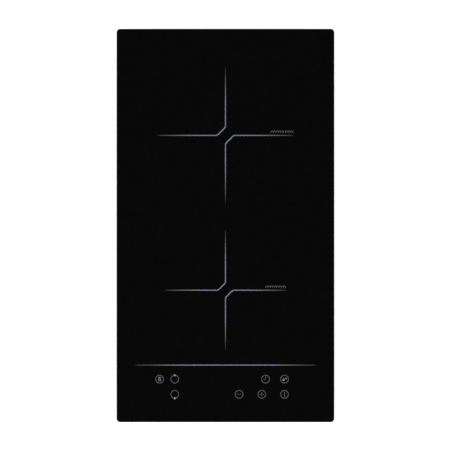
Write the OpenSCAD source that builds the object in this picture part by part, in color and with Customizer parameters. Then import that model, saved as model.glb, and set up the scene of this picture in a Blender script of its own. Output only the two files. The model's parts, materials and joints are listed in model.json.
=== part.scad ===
// Built-in induction cooktop with two cooking zones, for a narrow worktop cut-out.
// A ceramic glass plate is bonded to a steel frame, which is screwed into a deep steel tray.
// The tray holds the coils, the power board, the blower, the touch controls and the terminal box.
// Origin: centre of the tray's underside. +X right, +Y towards the back, +Z up.

/* [Glass] */
// Width of the glass plate, left to right
glass_w = 288; // [286:1:292]
// Length of the glass plate, front to back
glass_l = 520; // [518:1:524]
// Thickness of the glass plate
glass_t = 4; // [4:0.5:5]
// Radius of the glass plate's corners
glass_corner_r = 5; // [4:0.5:7]
// Width of the ground bevel round the glass edge
glass_bevel = 0.8; // [0.4:0.1:1.2]

/* [Worktop cut-out] */
// Width of the cut-out that the tray drops into
cutout_w = 268; // [267:1:270]
// Length of the cut-out that the tray drops into
cutout_l = 500; // [499:1:502]
// Free space between the tray and the cut-out, on each side
cutout_gap = 2; // [2:0.25:2.5]

/* [Base tray] */
// Height of the glass underside above the tray's underside
body_h = 52; // [52:1:55]
// Thickness of the tray's steel sheet
sheet_t = 0.8; // [0.7:0.1:0.8]
// Radius of the tray's upright corners
tray_corner_r = 8; // [6:1:10]

/* [Cooking zones] */
// Diameter of the rear cooking zone
rear_zone_d = 180; // [174:2:180]
// Diameter of the front cooking zone
front_zone_d = 160; // [154:2:160]
// Distance of the rear zone's centre behind the middle of the glass
rear_zone_y = 119; // [118:0.5:120]
// Distance of the front zone's centre in front of the middle of the glass
front_zone_y = 85.5; // [85:0.5:87]
// Diameter of the coils' litz wire
litz_d = 3.4; // [3:0.1:3.4]

/* [Blower] */
// Number of blades on the impeller
blade_count = 31; // [19:2:37]
// Radius of the impeller
impeller_r = 36; // [34:1:36]

/* [Worktop clamps] */
// Distance from a clamp's pivot to its tip
clamp_reach = 30; // [26:1:31]
// Thickest worktop that the clamps take
worktop_t_max = 38; // [37:1:40]

/* [Hidden] */
$fn = 48;
fit_gap = 0.1;             // gap between pieces that are assembled without a press fit
pin_gap = 0.05;            // radial clearance of a pin in its bore

// Body sizes
tray_w = cutout_w - 2 * cutout_gap;
tray_l = cutout_l - 2 * cutout_gap;
tray_x = tray_w / 2;
tray_y = tray_l / 2;
z_glass = body_h;
floor_z = sheet_t;         // top of the tray's floor
tray_top = z_glass - 0.3;

// Seal, bond and frame under the glass
seal_t = 2;
seal_w = 8;
seal_squashed_t = 1;
bond_t = 0.8;
bond_w = 8;
frame_t = 0.8;
frame_flange_w = 12;
frame_skirt_h = 10;
frame_x = tray_x - sheet_t - 0.3;
frame_y = tray_y - sheet_t - 0.3;
frame_top = z_glass - bond_t;

// Worktop clamps and the pockets they park in
clamp_w = 16;
clamp_t = 2;
clamp_top = z_glass - seal_squashed_t - worktop_t_max - 0.2;
clamp_pivot = [tray_x - 12, 150];
clamp_screw_r = 2.5;
pocket_h = clamp_top + 0.2;
pocket_w = 22;
pocket_y = [clamp_pivot[1] - 10, clamp_pivot[1] + 33];
side_signs = [[1, 1], [-1, 1], [1, -1], [-1, -1]];

// Recess at the back, for the cable gland
recess_x = [50, 86];
recess_y = 230;
recess_h = 28;

// Terminal box, its lid and its parts
box_x = [31, 105];
box_y = [165, recess_y - sheet_t];
box_top = 28;
box_wall = 2.5;
cavity_x = [box_x[0] + 3, box_x[1] - 3];
cavity_y = [box_y[0] + 3.5, box_y[1] - box_wall];
cavity_top = 26;
lid_t = 2;
lid_z = 0.2;
lid_pivot = [172, 2.8];    // y and z of the lid's trunnions
lid_end_y = cavity_y[1] - 1.2;
trunnion_r = 0.9;
gland_x = 68;
gland_z = 14;
cable_r = 5.5;
gland_thread_r = 8;
gland_hex_r = 11.5;        // across corners
block_x = [40, 96];
block_y = [186, 204];
block_z = [12, cavity_top];
pole_x = [46, 57, 68, 79, 90];
pole_screw_y = [190.5, 199.5];

// Coil deck and its pillars
deck_z = 30;
deck_t = 1;
deck_x = tray_x - 14;
deck_y = [-176, 222];
deck_lip = 5;
pillar_x = tray_x - 20;
pillar_ys = [-125, 0, 125, 212];
lead_window = [86, 18, 30, 44];

// Coils
coil_z = z_glass - 6.4;    // plane that the winding rests on
arm_t = 2;
arm_w = 20;
arm_count = 8;
ferrite_w = 14;
ferrite_t = 4.5;
hub_r = 17;
hub_bore_r = 14;
rim_t = 2.6;
winding_inner_r = 22;
turn_pitch = litz_d - 0.1;
insulation_t = 2.4;
spring_r = 5;
spring_wire = 1;
spring_post_r = 3.4;
sensor_r = 6.5;
sensor_foot_z = coil_z - 5;

// Power board
board_x = 104;
board_y = [-148, 104];
board_z = 7;
board_t = 1.6;
board_top = board_z + board_t;
board_pillars_at = [[-98, -140], [-98, -40], [98, -140], [98, -30], [98, 95], [-40, 95]];

// Heat sink and the power devices on it
sink_x = [-103, -60];
sink_y = [-20, 102];
sink_z = [board_top + fit_gap, 28];
sink_wall = 4;
sink_base = 3.3;
fin_count = 10;
fin_t = 1.2;
device_x = sink_x[1] + sink_wall;
device_t = 5;
transistor_ys = [88, 66, 44, 22];
rectifier_y = -4;
device_screw_z = 22;

// Board components, each [x, y, width, length, height] from its lower left corner
film_capacitor_boxes = [
    [44, 56, 26, 12, 18], [0, 14, 32, 16, 20], [0, -8, 32, 16, 20],
    [40, 26, 24, 16, 19], [40, 6, 24, 16, 19], [40, -14, 24, 16, 19]];
// Cans are [x, y, radius, height]
can_capacitor_rods = [[60, -60, 8, 20], [80, -60, 8, 20], [44, -90, 5, 14], [60, -92, 5, 14]];
chip_boxes = [[-27, -107, 14, 14, 1.6], [-38, 52, 6, 8, 1.6], [-38, 12, 6, 8, 1.6], [6, -112, 6, 8, 1.6],
    [80, -112, 6, 8, 1.6]];
choke_at = [20, 66];
choke_r = [8, 15];
choke_z = [board_top + 1.8, board_top + 12.8];
choke_wire = 1.4;
coil_terminals_at = [[76, 32], [88, 32], [76, -4], [88, -4]];

// Blower
fan_at = [-45, 172];
scroll_r = [impeller_r + 4, impeller_r + 22];
scroll_angles = [235, 540];
scroll_wall = 1.6;
outlet_l = 60;
fan_z = [floor_z + fit_gap, 25];
fan_floor_t = 1.5;
fan_cover_t = 1.6;
fan_inlet_r = 30;
fan_ears = [[-104, 208], [6, 208], [-8, 128]];
blade_z = [5, 20];
cup_r = 17;
cup_wall = 1.5;
shaft_r = 1.5;
stator_r = 14;

// Pressed collars in the tray's floor, and the ears that sit on them
collar_h = 3;
ear_z = [floor_z + collar_h, floor_z + collar_h + 2.5];
box_ears = [[26.5, 197], [109.5, 197]];
carrier_legs = [[-90, -230], [90, -230], [-90, -196], [90, -196]];
leg_to_screw = 10;
collars_at = concat(fan_ears, box_ears, [for (p = carrier_legs) [p[0] - sign(p[0]) * leg_to_screw, p[1]]]);

// Touch controls
key_rows = [-203, -223];
keys_at = [[-87, key_rows[0]], [-67, key_rows[0]], [-67, key_rows[1]], [53, key_rows[0]], [78, key_rows[0]],
    [18, key_rows[1]], [48, key_rows[1]], [78, key_rows[1]]];
display_boxes = [[-44, key_rows[0], 12, 17], [-44, key_rows[1], 12, 17], [26, key_rows[0], 24, 17]];
carrier_x = 98;
carrier_y = [-237, -189];
carrier_z = 37;
carrier_t = 2;
control_z = carrier_z + carrier_t + fit_gap;
control_t = 1.6;
control_top = control_z + control_t;
key_spring_r = 5;

// Chassis screws, shared by the board, the deck, the blower, the carrier and the power devices
screw_r = 1.45;
screw_head_r = 3.1;
screw_head_h = 2.1;
screw_hole_r = 1.6;
screw_bore_r = screw_r + pin_gap;

// Frame screws through the tray's walls
frame_screw_z = z_glass - 6.5;
frame_screw_r = 1.7;
frame_screw_head_r = 3.5;
frame_screw_head_h = 1.7;
long_side_ys = [-190, 0, 190];
short_side_xs = [-80, 80];

// Air slots
slot_w = 3;
front_slot_xs = [-100:10:100];
side_slot_ys = [-60:10:60];
floor_slot_xs = [-64:8:64];
inlet_slot_pitch = 6;

// Internal leads: points that each lead runs through
lead_d = 3.4;
rear_lead_paths = [
    [[60, 52, 47], [70, 42, 45.5], [79, 34, 40], [80, 30, 31], [76, 32, 20], [76, 32, 17.5], [76, 32, 15]],
    [[69, 61, 42], [80, 50, 42], [90, 39, 38], [91, 31, 30], [88, 32, 20], [88, 32, 17.5], [88, 32, 15]]];
front_lead_paths = [
    [[56, -25, 47], [67, -13, 45.5], [78, -4, 40], [80, 3, 31], [76, -4, 20], [76, -4, 17.5], [76, -4, 15]],
    [[63, -32, 42], [80, -17, 42], [90, -4, 38], [91, 3, 30], [88, -4, 20], [88, -4, 17.5], [88, -4, 15]]];
signal_d = 2;
sensor_lead_paths = [
    [[0, rear_zone_y, 43], [0, rear_zone_y, 36], [1, 117, 28], [5, 108, 22], [9, 97, 18],
        [9, 97, 16.1], [9, 97, 14.2]],
    [[0, -front_zone_y, 43], [0, -front_zone_y, 36], [1, -84, 28], [6, -76, 22], [15, -65, 18],
        [15, -65, 16.1], [15, -65, 14.2]]];
fan_lead_path = [[-45, 150, 27.8], [-32, 136, 27.8], [-27, 126, 27.8], [-25, 112, 24], [-27, 97, 18],
    [-27, 97, 16.1], [-27, 97, 14.2]];
mains_d = 2.6;
live_path = [[46, 185.8, 19], [46, 178, 19], [52, 164, 19], [58, 140, 20], [68, 110, 24], [71, 96, 21],
    [71, 96, 18.6], [71, 96, 16.2]];
neutral_path = [[57, 185.8, 19], [57, 178, 19], [60, 164, 19], [70, 142, 20], [78, 112, 24], [79, 96, 21],
    [79, 96, 18.6], [79, 96, 16.2]];
earth_path = [[79, 185.8, 19], [79, 178, 19], [84, 164, 19], [92, 145, 19], [88, 114, 24], [87, 96, 21],
    [87, 96, 18.6], [87, 96, 16.2]];
ribbon_w = 16;
ribbon_t = 1;
ribbon_line = [[-202, 32.9], [-202, 24], [-196, 17], [-184, 15], [-160, 16.5], [-148, 18.5], [-142, 18.5],
    [-142, 14.1]];

// ---------------------------------------------------------------- shared shapes

// A rectangle with true round corners, centred on the origin.
module rounded_rect(w, l, r) {
    square([w - 2 * r, l], center = true);
    square([w, l - 2 * r], center = true);
    for (sx = [-1, 1], sy = [-1, 1])
        translate([sx * (w / 2 - r), sy * (l / 2 - r)])
            circle(r);
}

// A prism of that rectangle between two heights.
module rounded_slab(w, l, r, z) {
    translate([0, 0, z[0]])
        linear_extrude(z[1] - z[0])
            rounded_rect(w, l, r);
}

// A rectangular ring of one width all round, between two heights.
module ring_slab(w, l, r, band, z) {
    translate([0, 0, z[0]])
        linear_extrude(z[1] - z[0])
            difference() {
                rounded_rect(w, l, r);
                rounded_rect(w - 2 * band, l - 2 * band, max(r - band, 1));
            }
}

// A box given by its two limits along each axis.
module span_box(x, y, z) {
    translate([x[0], y[0], z[0]])
        cube([x[1] - x[0], y[1] - y[0], z[1] - z[0]]);
}

// An upright cylinder at a place, between two heights.
module post(at, r, z) {
    translate([at[0], at[1], z[0]])
        cylinder(r = r, h = z[1] - z[0]);
}

// An upright tube at a place, between two heights.
module sleeve(at, outer_r, inner_r, z) {
    difference() {
        post(at, outer_r, z);
        post(at, inner_r, [z[0] - 1, z[1] + 1]);
    }
}

// A slot with round ends, long in Y.
module slot(w, l) {
    square([w, l - w], center = true);
    for (s = [-1, 1])
        translate([0, s * (l - w) / 2])
            circle(w / 2, $fn = 24);
}

// A plate with round corners and a small bevel on all its edges, standing on z = 0.
module bevelled_plate(w, l, r, t, b) {
    function section(half) = [[-half + b, 0], [half - b, 0], [half, b], [half, t - b], [half - b, t],
        [-half + b, t], [-half, t - b], [-half, b]];
    rotate([90, 0, 0])
        linear_extrude(l - 2 * r, center = true)
            polygon(section(w / 2));
    rotate([90, 0, 90])
        linear_extrude(w - 2 * r, center = true)
            polygon(section(l / 2));
    for (sx = [-1, 1], sy = [-1, 1])
        translate([sx * (w / 2 - r), sy * (l / 2 - r), 0])
            rotate_extrude()
                polygon([[0, 0], [r - b, 0], [r, b], [r, t - b], [r - b, t], [0, t]]);
}

// A pan-head screw with a cross recess: its head stands on z = 0 and its shank points down.
module screw(head_r, head_h, shank_r, length) {
    difference() {
        union() {
            cylinder(r = head_r, h = head_h * 0.6);
            translate([0, 0, head_h * 0.6])
                cylinder(r1 = head_r, r2 = head_r * 0.7, h = head_h * 0.4);
        }
        for (a = [0, 90])
            rotate(a)
                translate([-head_r * 0.55, -0.35, head_h * 0.45])
                    cube([head_r * 1.1, 0.7, head_h]);
    }
    translate([0, 0, -length])
        cylinder(r = shank_r, h = length);
}

module chassis_screw(length) {
    screw(screw_head_r, screw_head_h, screw_r, length);
}

// An ear that sits on a collar of the tray's floor, with the hole for its screw.
module ear(at, r = 5) {
    sleeve(at, r, screw_hole_r, ear_z);
}

// ---------------------------------------------------------------- sweeping a lead along a path

function unit(v) = v / norm(v);
function blend_point(p, i, t) =
    let (a = p[max(i - 1, 0)], b = p[i], c = p[i + 1], d = p[min(i + 2, len(p) - 1)])
    0.5 * (2 * b + (c - a) * t + (2 * a - 5 * b + 4 * c - d) * t * t + (3 * b - a - 3 * c + d) * t * t * t);
function smooth_path(p, steps) = [
    for (i = [0:len(p) - 2]) for (s = [0:steps - 1]) blend_point(p, i, s / steps),
    p[len(p) - 1]];
function tangents(q) = [for (i = [0:len(q) - 1]) unit(q[min(i + 1, len(q) - 1)] - q[max(i - 1, 0)])];
function side_of(t) = unit(cross(t, abs(t[0]) < 0.8 ? [1, 0, 0] : [0, 1, 0]));
function carried_sides(t, i = 0, done = []) =
    i == len(t) ? done
    : carried_sides(t, i + 1, concat(done, [
        i == 0 ? side_of(t[0]) : unit(done[i - 1] - (done[i - 1] * t[i]) * t[i])]));

// A round lead through the given points, as one closed surface.
module lead(path, d, steps = 3, sides = 8) {
    line = smooth_path(path, steps);
    along = tangents(line);
    across = carried_sides(along);
    rings = len(line);
    points = [
        for (i = [0:rings - 1]) for (k = [0:sides - 1])
            let (a = 360 * k / sides)
            line[i] + d / 2 * (cos(a) * across[i] + sin(a) * cross(along[i], across[i]))];
    walls = [
        for (i = [0:rings - 2]) for (k = [0:sides - 1])
            let (n = (k + 1) % sides, a = i * sides + k, b = i * sides + n)
            for (f = [[a, b + sides, b], [a, a + sides, b + sides]]) f];
    ends = [[for (k = [0:sides - 1]) k], [for (k = [0:sides - 1]) rings * sides - 1 - k]];
    polyhedron(points, concat(walls, ends));
}

// ---------------------------------------------------------------- glass, frame and seal

module glass_top() {
    color("#0b0b0d")
        translate([0, 0, z_glass])
            bevelled_plate(glass_w, glass_l, glass_corner_r, glass_t, glass_bevel);
}

module glass_bond() {
    color("#26262a")
        ring_slab(2 * frame_x - 3, 2 * frame_y - 3, 6, bond_w, [frame_top, z_glass]);
}

module glass_frame() {
    color("#b9bdc2")
        difference() {
            union() {
                ring_slab(2 * frame_x, 2 * frame_y, tray_corner_r - 1, frame_flange_w,
                    [frame_top - frame_t, frame_top]);
                ring_slab(2 * frame_x, 2 * frame_y, tray_corner_r - 1, frame_t,
                    [frame_top - frame_skirt_h, frame_top]);
            }
            at_frame_screws()
                translate([0, 0, -8])
                    cylinder(r = frame_screw_r + pin_gap, h = 16);
        }
}

module worktop_seal() {
    color("#3a3a3c")
        ring_slab(glass_w - 2, glass_l - 2, glass_corner_r - 1, seal_w, [z_glass - seal_t, z_glass]);
}

// Puts its children at each frame screw, with +Z pointing out of the tray's wall.
module at_frame_screws() {
    for (s = [-1, 1]) {
        for (y = long_side_ys)
            translate([s * tray_x, y, frame_screw_z])
                rotate([0, s * 90, 0])
                    children();
        for (x = short_side_xs)
            translate([x, s * tray_y, frame_screw_z])
                rotate([-s * 90, 0, 0])
                    children();
    }
}

module frame_screws() {
    color("#c9ccd0")
        at_frame_screws()
            screw(frame_screw_head_r, frame_screw_head_h, frame_screw_r, 5);
}

// ---------------------------------------------------------------- base tray

// The spaces pressed up into the tray, each grown by the given amount on its inner sides.
module pressed_spaces(grow) {
    for (s = side_signs) {
        x = [tray_x - pocket_w - grow, tray_x + 5];
        y = [pocket_y[0] - grow, pocket_y[1] + grow];
        span_box(s[0] > 0 ? x : [-x[1], -x[0]], s[1] > 0 ? y : [-y[1], -y[0]], [-1, pocket_h + grow]);
    }
    span_box([recess_x[0] - grow, recess_x[1] + grow], [recess_y - grow, tray_y + 5], [-1, recess_h + grow]);
    for (y = [-112, -72, 44])
        span_box([-84 - grow, 84 + grow], [y - 4 - grow, y + 4 + grow], [-1, 1 + grow]);
}

module tray_shell() {
    difference() {
        rounded_slab(tray_w, tray_l, tray_corner_r, [0, tray_top]);
        pressed_spaces(0);
        difference() {
            rounded_slab(tray_w - 2 * sheet_t, tray_l - 2 * sheet_t, tray_corner_r - sheet_t,
                [floor_z, tray_top + 1]);
            pressed_spaces(sheet_t);
        }
    }
}

// Slots under the impeller, each as long as the round inlet allows.
module inlet_slots() {
    for (k = [-5:5]) {
        x = k * inlet_slot_pitch;
        translate([fan_at[0] + x, fan_at[1], -1])
            linear_extrude(3)
                slot(slot_w, 2 * sqrt(pow(fan_inlet_r + 3, 2) - x * x));
    }
}

module wall_slots() {
    for (x = front_slot_xs)
        translate([x, -tray_y - 1, 21])
            rotate([-90, 0, 0])
                linear_extrude(3)
                    slot(slot_w, 14);
    for (s = [-1, 1], y = side_slot_ys)
        translate([s * tray_x, y, 22])
            rotate([90, 0, 90])
                linear_extrude(4, center = true)
                    slot(slot_w, 16);
}

module base_tray() {
    color("#aeb3b8")
        difference() {
            union() {
                tray_shell();
                for (p = collars_at)
                    post(p, 2.8, [floor_z - 0.2, floor_z + collar_h]);
                for (s = side_signs)
                    post([s[0] * clamp_pivot[0], s[1] * clamp_pivot[1]], 4.2,
                        [pocket_h + 0.2, pocket_h + sheet_t + 4]);
            }
            for (p = collars_at)
                post(p, screw_bore_r, [-1, floor_z + collar_h + 1]);
            for (s = side_signs)
                post([s[0] * clamp_pivot[0], s[1] * clamp_pivot[1]], clamp_screw_r + pin_gap,
                    [pocket_h - 1, pocket_h + 8]);
            at_frame_screws()
                translate([0, 0, -3])
                    cylinder(r = frame_screw_r + 0.2, h = 6);
            span_box(cavity_x, [cavity_y[0], cavity_y[1] - 0.6], [-1, 3]);
            translate([gland_x, recess_y + 2, gland_z])
                rotate([90, 0, 0])
                    cylinder(r = gland_thread_r + 0.2, h = 5);
            inlet_slots();
            for (x = floor_slot_xs)
                translate([x, -213, -1])
                    linear_extrude(3)
                        slot(slot_w, 30);
            wall_slots();
        }
}

// ---------------------------------------------------------------- worktop clamps

// A clamp plate with its pivot on the Z axis and its tip towards +Y.
module clamp_plate() {
    difference() {
        union() {
            post([0, 0], clamp_w / 2, [clamp_top - clamp_t, clamp_top]);
            span_box([-clamp_w / 2, clamp_w / 2], [0, clamp_reach], [clamp_top - clamp_t, clamp_top]);
            span_box([-clamp_w / 2, clamp_w / 2], [clamp_reach - clamp_t, clamp_reach], [3, clamp_top]);
        }
        post([0, 0], clamp_screw_r + 0.08, [0, clamp_top + 1]);
        translate([0, clamp_reach * 0.6, clamp_top - 5])
            linear_extrude(8)
                slot(5, 10);
    }
}

module clamp(sx, sy) {
    color("#c4c8cc")
        translate([sx * clamp_pivot[0], sy * clamp_pivot[1], 0])
            rotate(sy > 0 ? 0 : 180)
                clamp_plate();
}

module clamp_screws() {
    color("#d0d3d6")
        for (s = side_signs)
            translate([s[0] * clamp_pivot[0], s[1] * clamp_pivot[1], clamp_top - clamp_t - fit_gap])
                rotate([180, 0, 0])
                    screw(5, 2.8, clamp_screw_r, 8);
}

// ---------------------------------------------------------------- terminal box

module terminal_box() {
    color("#1d1d1f")
        difference() {
            union() {
                span_box(box_x, box_y, [floor_z, box_top]);
                for (p = box_ears) {
                    ear(p);
                    x = p[0] < box_x[0] ? [p[0], box_x[0] + 1] : [box_x[1] - 1, p[0]];
                    span_box(x, [p[1] - 5, p[1] + 5], ear_z);
                }
            }
            span_box(cavity_x, cavity_y, [0, cavity_top]);
            span_box([43, 93], [box_y[0] - 1, cavity_y[0] + 1], [15, 23]);
            translate([gland_x, recess_y, gland_z])
                rotate([90, 0, 0])
                    cylinder(r = gland_thread_r + 0.2, h = 6);
            for (x = [box_x[0] + 1, cavity_x[1] - 1])
                translate([x, lid_pivot[0], lid_pivot[1]])
                    rotate([0, 90, 0])
                        cylinder(r = trunnion_r + pin_gap, h = 3);
            for (p = box_ears)
                post(p, screw_hole_r, [0, 10]);
        }
}

module terminal_lid() {
    color("#232326") {
        x = [cavity_x[0] + 0.6, cavity_x[1] - 0.6];
        difference() {
            union() {
                span_box(x, [lid_pivot[0], lid_end_y], [lid_z, lid_z + lid_t]);
                for (k = [x[0], x[1] - 9])
                    translate([k, lid_pivot[0], lid_pivot[1]])
                        rotate([0, 90, 0])
                            cylinder(r = 1.8, h = 9);
                translate([cavity_x[0] - 1.5, lid_pivot[0], lid_pivot[1]])
                    rotate([0, 90, 0])
                        cylinder(r = trunnion_r, h = 8);
                translate([cavity_x[1] - 6.5, lid_pivot[0], lid_pivot[1]])
                    rotate([0, 90, 0])
                        cylinder(r = trunnion_r, h = 8);
            }
            span_box([gland_x - 7, gland_x + 7], [lid_end_y - 9, lid_end_y - 6], [lid_z + 1, lid_z + 3]);
            for (k = [-2:2])
                span_box([gland_x - 20, gland_x + 20], [lid_pivot[0] + 22 + 4 * k, lid_pivot[0] + 23 + 4 * k],
                    [lid_z - 1, lid_z + 0.5]);
        }
        span_box([gland_x - 5, gland_x + 5], [lid_end_y - 4, lid_end_y - 2.4], [lid_z + lid_t - 0.2, 4]);
    }
}

module terminal_block() {
    color("#e4e2da")
        difference() {
            union() {
                span_box(block_x, block_y, block_z);
                for (k = [0:5]) {
                    x = pole_x[0] - 5.5 + 11 * k;
                    span_box([x - 0.6, x + 0.6], [block_y[0], block_y[1]], [block_z[0] - 2, block_z[0] + 1]);
                }
            }
            for (x = pole_x) {
                for (y = pole_screw_y)
                    post([x, y], 2.9, [block_z[0] - 3, block_z[0] + 6]);
                translate([x, block_y[0] - 1, 19])
                    rotate([-90, 0, 0])
                        cylinder(r = 1.9, h = 5);
                translate([x, block_y[1] + 1, 19])
                    rotate([90, 0, 0])
                        cylinder(r = 1.9, h = 5);
            }
        }
}

module terminal_screws() {
    color("#c8a755")
        for (x = pole_x, y = pole_screw_y)
            difference() {
                post([x, y], 2.8, [block_z[0] + 1, block_z[0] + 6]);
                span_box([x - 3, x + 3], [y - 0.4, y + 0.4], [block_z[0], block_z[0] + 2.2]);
            }
}

// A hexagonal nut or collar along +Y, from y[0] to y[1], with a flat side up.
module hex_along_y(r, y) {
    translate([gland_x, y[1], gland_z])
        rotate([90, 0, 0])
            cylinder(r = r, h = y[1] - y[0], $fn = 6);
}

module along_gland(r, y) {
    translate([gland_x, y[1], gland_z])
        rotate([90, 0, 0])
            cylinder(r = r, h = y[1] - y[0]);
}

gland_inner_y = cavity_y[1] - 7.5;
gland_outer_y = recess_y + 15;

module cable_gland() {
    color("#2a2a2d")
        difference() {
            union() {
                along_gland(gland_thread_r, [gland_inner_y, recess_y + 1]);
                hex_along_y(gland_hex_r, [recess_y, recess_y + 5]);
                hex_along_y(gland_hex_r - 0.8, [recess_y + 5.6, recess_y + 12]);
                along_gland(gland_hex_r - 2.6, [recess_y + 4, gland_outer_y]);
            }
            along_gland(cable_r, [gland_inner_y - 1, gland_outer_y + 1]);
        }
}

module gland_nut() {
    color("#2f2f33")
        difference() {
            hex_along_y(gland_hex_r, [cavity_y[1] - 5.5, cavity_y[1]]);
            along_gland(gland_thread_r + pin_gap, [cavity_y[1] - 7, cavity_y[1] + 1]);
        }
}

// ---------------------------------------------------------------- coil deck

module coil_deck() {
    mid_y = (deck_y[0] + deck_y[1]) / 2;
    color("#d5d8da")
        difference() {
            union() {
                translate([0, mid_y, 0])
                    rounded_slab(2 * deck_x, deck_y[1] - deck_y[0], 6, [deck_z, deck_z + deck_t]);
                for (s = [-1, 1])
                    span_box(s > 0 ? [deck_x - deck_t, deck_x] : [-deck_x, -deck_x + deck_t],
                        [deck_y[0] + 10, deck_y[1] - 10], [deck_z - deck_lip, deck_z + 0.2]);
            }
            for (sx = [-1, 1], y = pillar_ys)
                post([sx * pillar_x, y], screw_hole_r, [deck_z - 1, deck_z + 3]);
            for (y = [rear_zone_y, -front_zone_y])
                post([0, y], 11, [deck_z - 1, deck_z + 3]);
            translate([lead_window[0], lead_window[1], 0])
                rounded_slab(lead_window[2], lead_window[3], 5, [deck_z - 1, deck_z + 3]);
        }
}

module deck_pillars() {
    color("#c2c5c8")
        for (sx = [-1, 1], y = pillar_ys)
            difference() {
                translate([sx * pillar_x, y, floor_z])
                    cylinder(r = 4, h = deck_z - floor_z, $fn = 6);
                post([sx * pillar_x, y], screw_bore_r, [deck_z - 10, deck_z + 1]);
            }
}

// ---------------------------------------------------------------- coils

function winding_outer_r(zone_d) = zone_d / 2 - 5;
function turns(zone_d) = floor((winding_outer_r(zone_d) - winding_inner_r) / turn_pitch);
function spring_angles() = [22.5, 112.5, 202.5, 292.5];

// A spider that carries the winding on top and a ferrite bar under each arm.
module coil_former(zone_d) {
    outer_r = winding_outer_r(zone_d) + 0.3 + rim_t;
    spring_at_r = outer_r - 9;
    arm_z = [coil_z - arm_t, coil_z];
    color("#2b2b2e")
        difference() {
            union() {
                sleeve([0, 0], outer_r, outer_r - rim_t, [coil_z - arm_t, coil_z + litz_d]);
                sleeve([0, 0], hub_r, hub_bore_r, [coil_z - arm_t - ferrite_t, coil_z + litz_d]);
                post([0, 0], hub_bore_r + 0.5, [sensor_foot_z - 1.5, sensor_foot_z]);
                for (k = [0:arm_count - 1])
                    rotate(360 / arm_count * k) {
                        span_box([hub_r - 1, outer_r - 1], [-arm_w / 2, arm_w / 2], arm_z);
                        for (s = [-1, 1])
                            translate([0, s * (ferrite_w / 2 + 0.9), 0])
                                span_box([hub_r + 5, outer_r - 1], [-0.7, 0.7],
                                    [coil_z - arm_t - ferrite_t, coil_z - arm_t + 0.5]);
                    }
                for (a = spring_angles())
                    rotate(a) {
                        post([spring_at_r, 0], 7, arm_z);
                        post([spring_at_r, 0], spring_post_r, [coil_z - arm_t - 6, coil_z - arm_t + 0.5]);
                    }
            }
            post([0, 0], 3, [0, coil_z]);
        }
}

// Turns of litz wire lying side by side.
module coil_winding(zone_d) {
    color("#b0703c")
        translate([0, 0, coil_z + litz_d / 2 + 0.05])
            rotate_extrude($fn = 96)
                for (k = [0:turns(zone_d) - 1])
                    translate([winding_outer_r(zone_d) - litz_d / 2 - k * turn_pitch, 0])
                        circle(litz_d / 2, $fn = 24);
}

module coil_ferrites(zone_d) {
    bar = [hub_r + 4, winding_outer_r(zone_d) - 3];
    color("#3b3d40")
        for (k = [0:arm_count - 1])
            rotate(360 / arm_count * k)
                span_box(bar, [-ferrite_w / 2, ferrite_w / 2],
                    [coil_z - arm_t - ferrite_t - 0.1, coil_z - arm_t - 0.1]);
}

module coil_insulation(zone_d) {
    color("#cfc8b8")
        sleeve([0, 0], winding_outer_r(zone_d) + 2.9, 9, [z_glass - 0.2 - insulation_t, z_glass - 0.2]);
}

module zone_sensor() {
    color("#e8e4dc")
        difference() {
            union() {
                post([0, 0], sensor_r, [coil_z - 0.5, z_glass - 0.3]);
                post([0, 0], sensor_r + 1.8, [coil_z + 1, coil_z + 2.4]);
            }
            post([0, 0], 2.4, [coil_z - 1, coil_z + 2]);
        }
}

module at_rear_zone() {
    translate([0, rear_zone_y, 0])
        children();
}

module at_front_zone() {
    translate([0, -front_zone_y, 0])
        children();
}

// Springs are shown as plain tubes of the coil's true diameter and height.
module zone_springs(zone_d) {
    at_r = winding_outer_r(zone_d) + 0.3 + rim_t - 9;
    for (a = spring_angles())
        rotate(a)
            sleeve([at_r, 0], spring_r, spring_r - spring_wire, [deck_z + deck_t, coil_z - arm_t]);
}

module coil_springs() {
    color("#c8cacc") {
        at_rear_zone()
            zone_springs(rear_zone_d);
        at_front_zone()
            zone_springs(front_zone_d);
    }
}

module sensor_springs() {
    color("#c8cacc")
        for (y = [rear_zone_y, -front_zone_y])
            sleeve([0, y], 4.6, 3.8, [sensor_foot_z, coil_z - 0.5]);
}

module coil_leads(paths) {
    color("#8d4a2a")
        for (p = paths)
            lead(p, lead_d);
}

module sensor_leads() {
    color("#e6e6e2") {
        for (p = sensor_lead_paths)
            lead(p, signal_d);
        lead(fan_lead_path, signal_d);
    }
}

// ---------------------------------------------------------------- power board

module power_board() {
    mid_y = (board_y[0] + board_y[1]) / 2;
    color("#2f6b45")
        difference() {
            translate([0, mid_y, 0])
                rounded_slab(2 * board_x, board_y[1] - board_y[0], 3, [board_z, board_top]);
            for (p = board_pillars_at)
                post(p, screw_hole_r, [board_z - 1, board_top + 1]);
        }
}

module board_pillars() {
    color("#e0ded8")
        for (p = board_pillars_at)
            sleeve(p, 3.6, screw_bore_r, [floor_z, board_z]);
}

module at_device_screws() {
    for (y = concat(transistor_ys, [rectifier_y]))
        translate([device_x + fit_gap + device_t, y, device_screw_z])
            rotate([0, 90, 0])
                children();
}

module chassis_screws() {
    color("#cfd2d5") {
        for (sx = [-1, 1], y = pillar_ys)
            translate([sx * pillar_x, y, deck_z + deck_t])
                chassis_screw(8);
        for (p = board_pillars_at)
            translate([p[0], p[1], board_top])
                chassis_screw(6);
        for (p = collars_at)
            translate([p[0], p[1], ear_z[1]])
                chassis_screw(5.4);
        at_device_screws()
            chassis_screw(8);
    }
}

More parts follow.
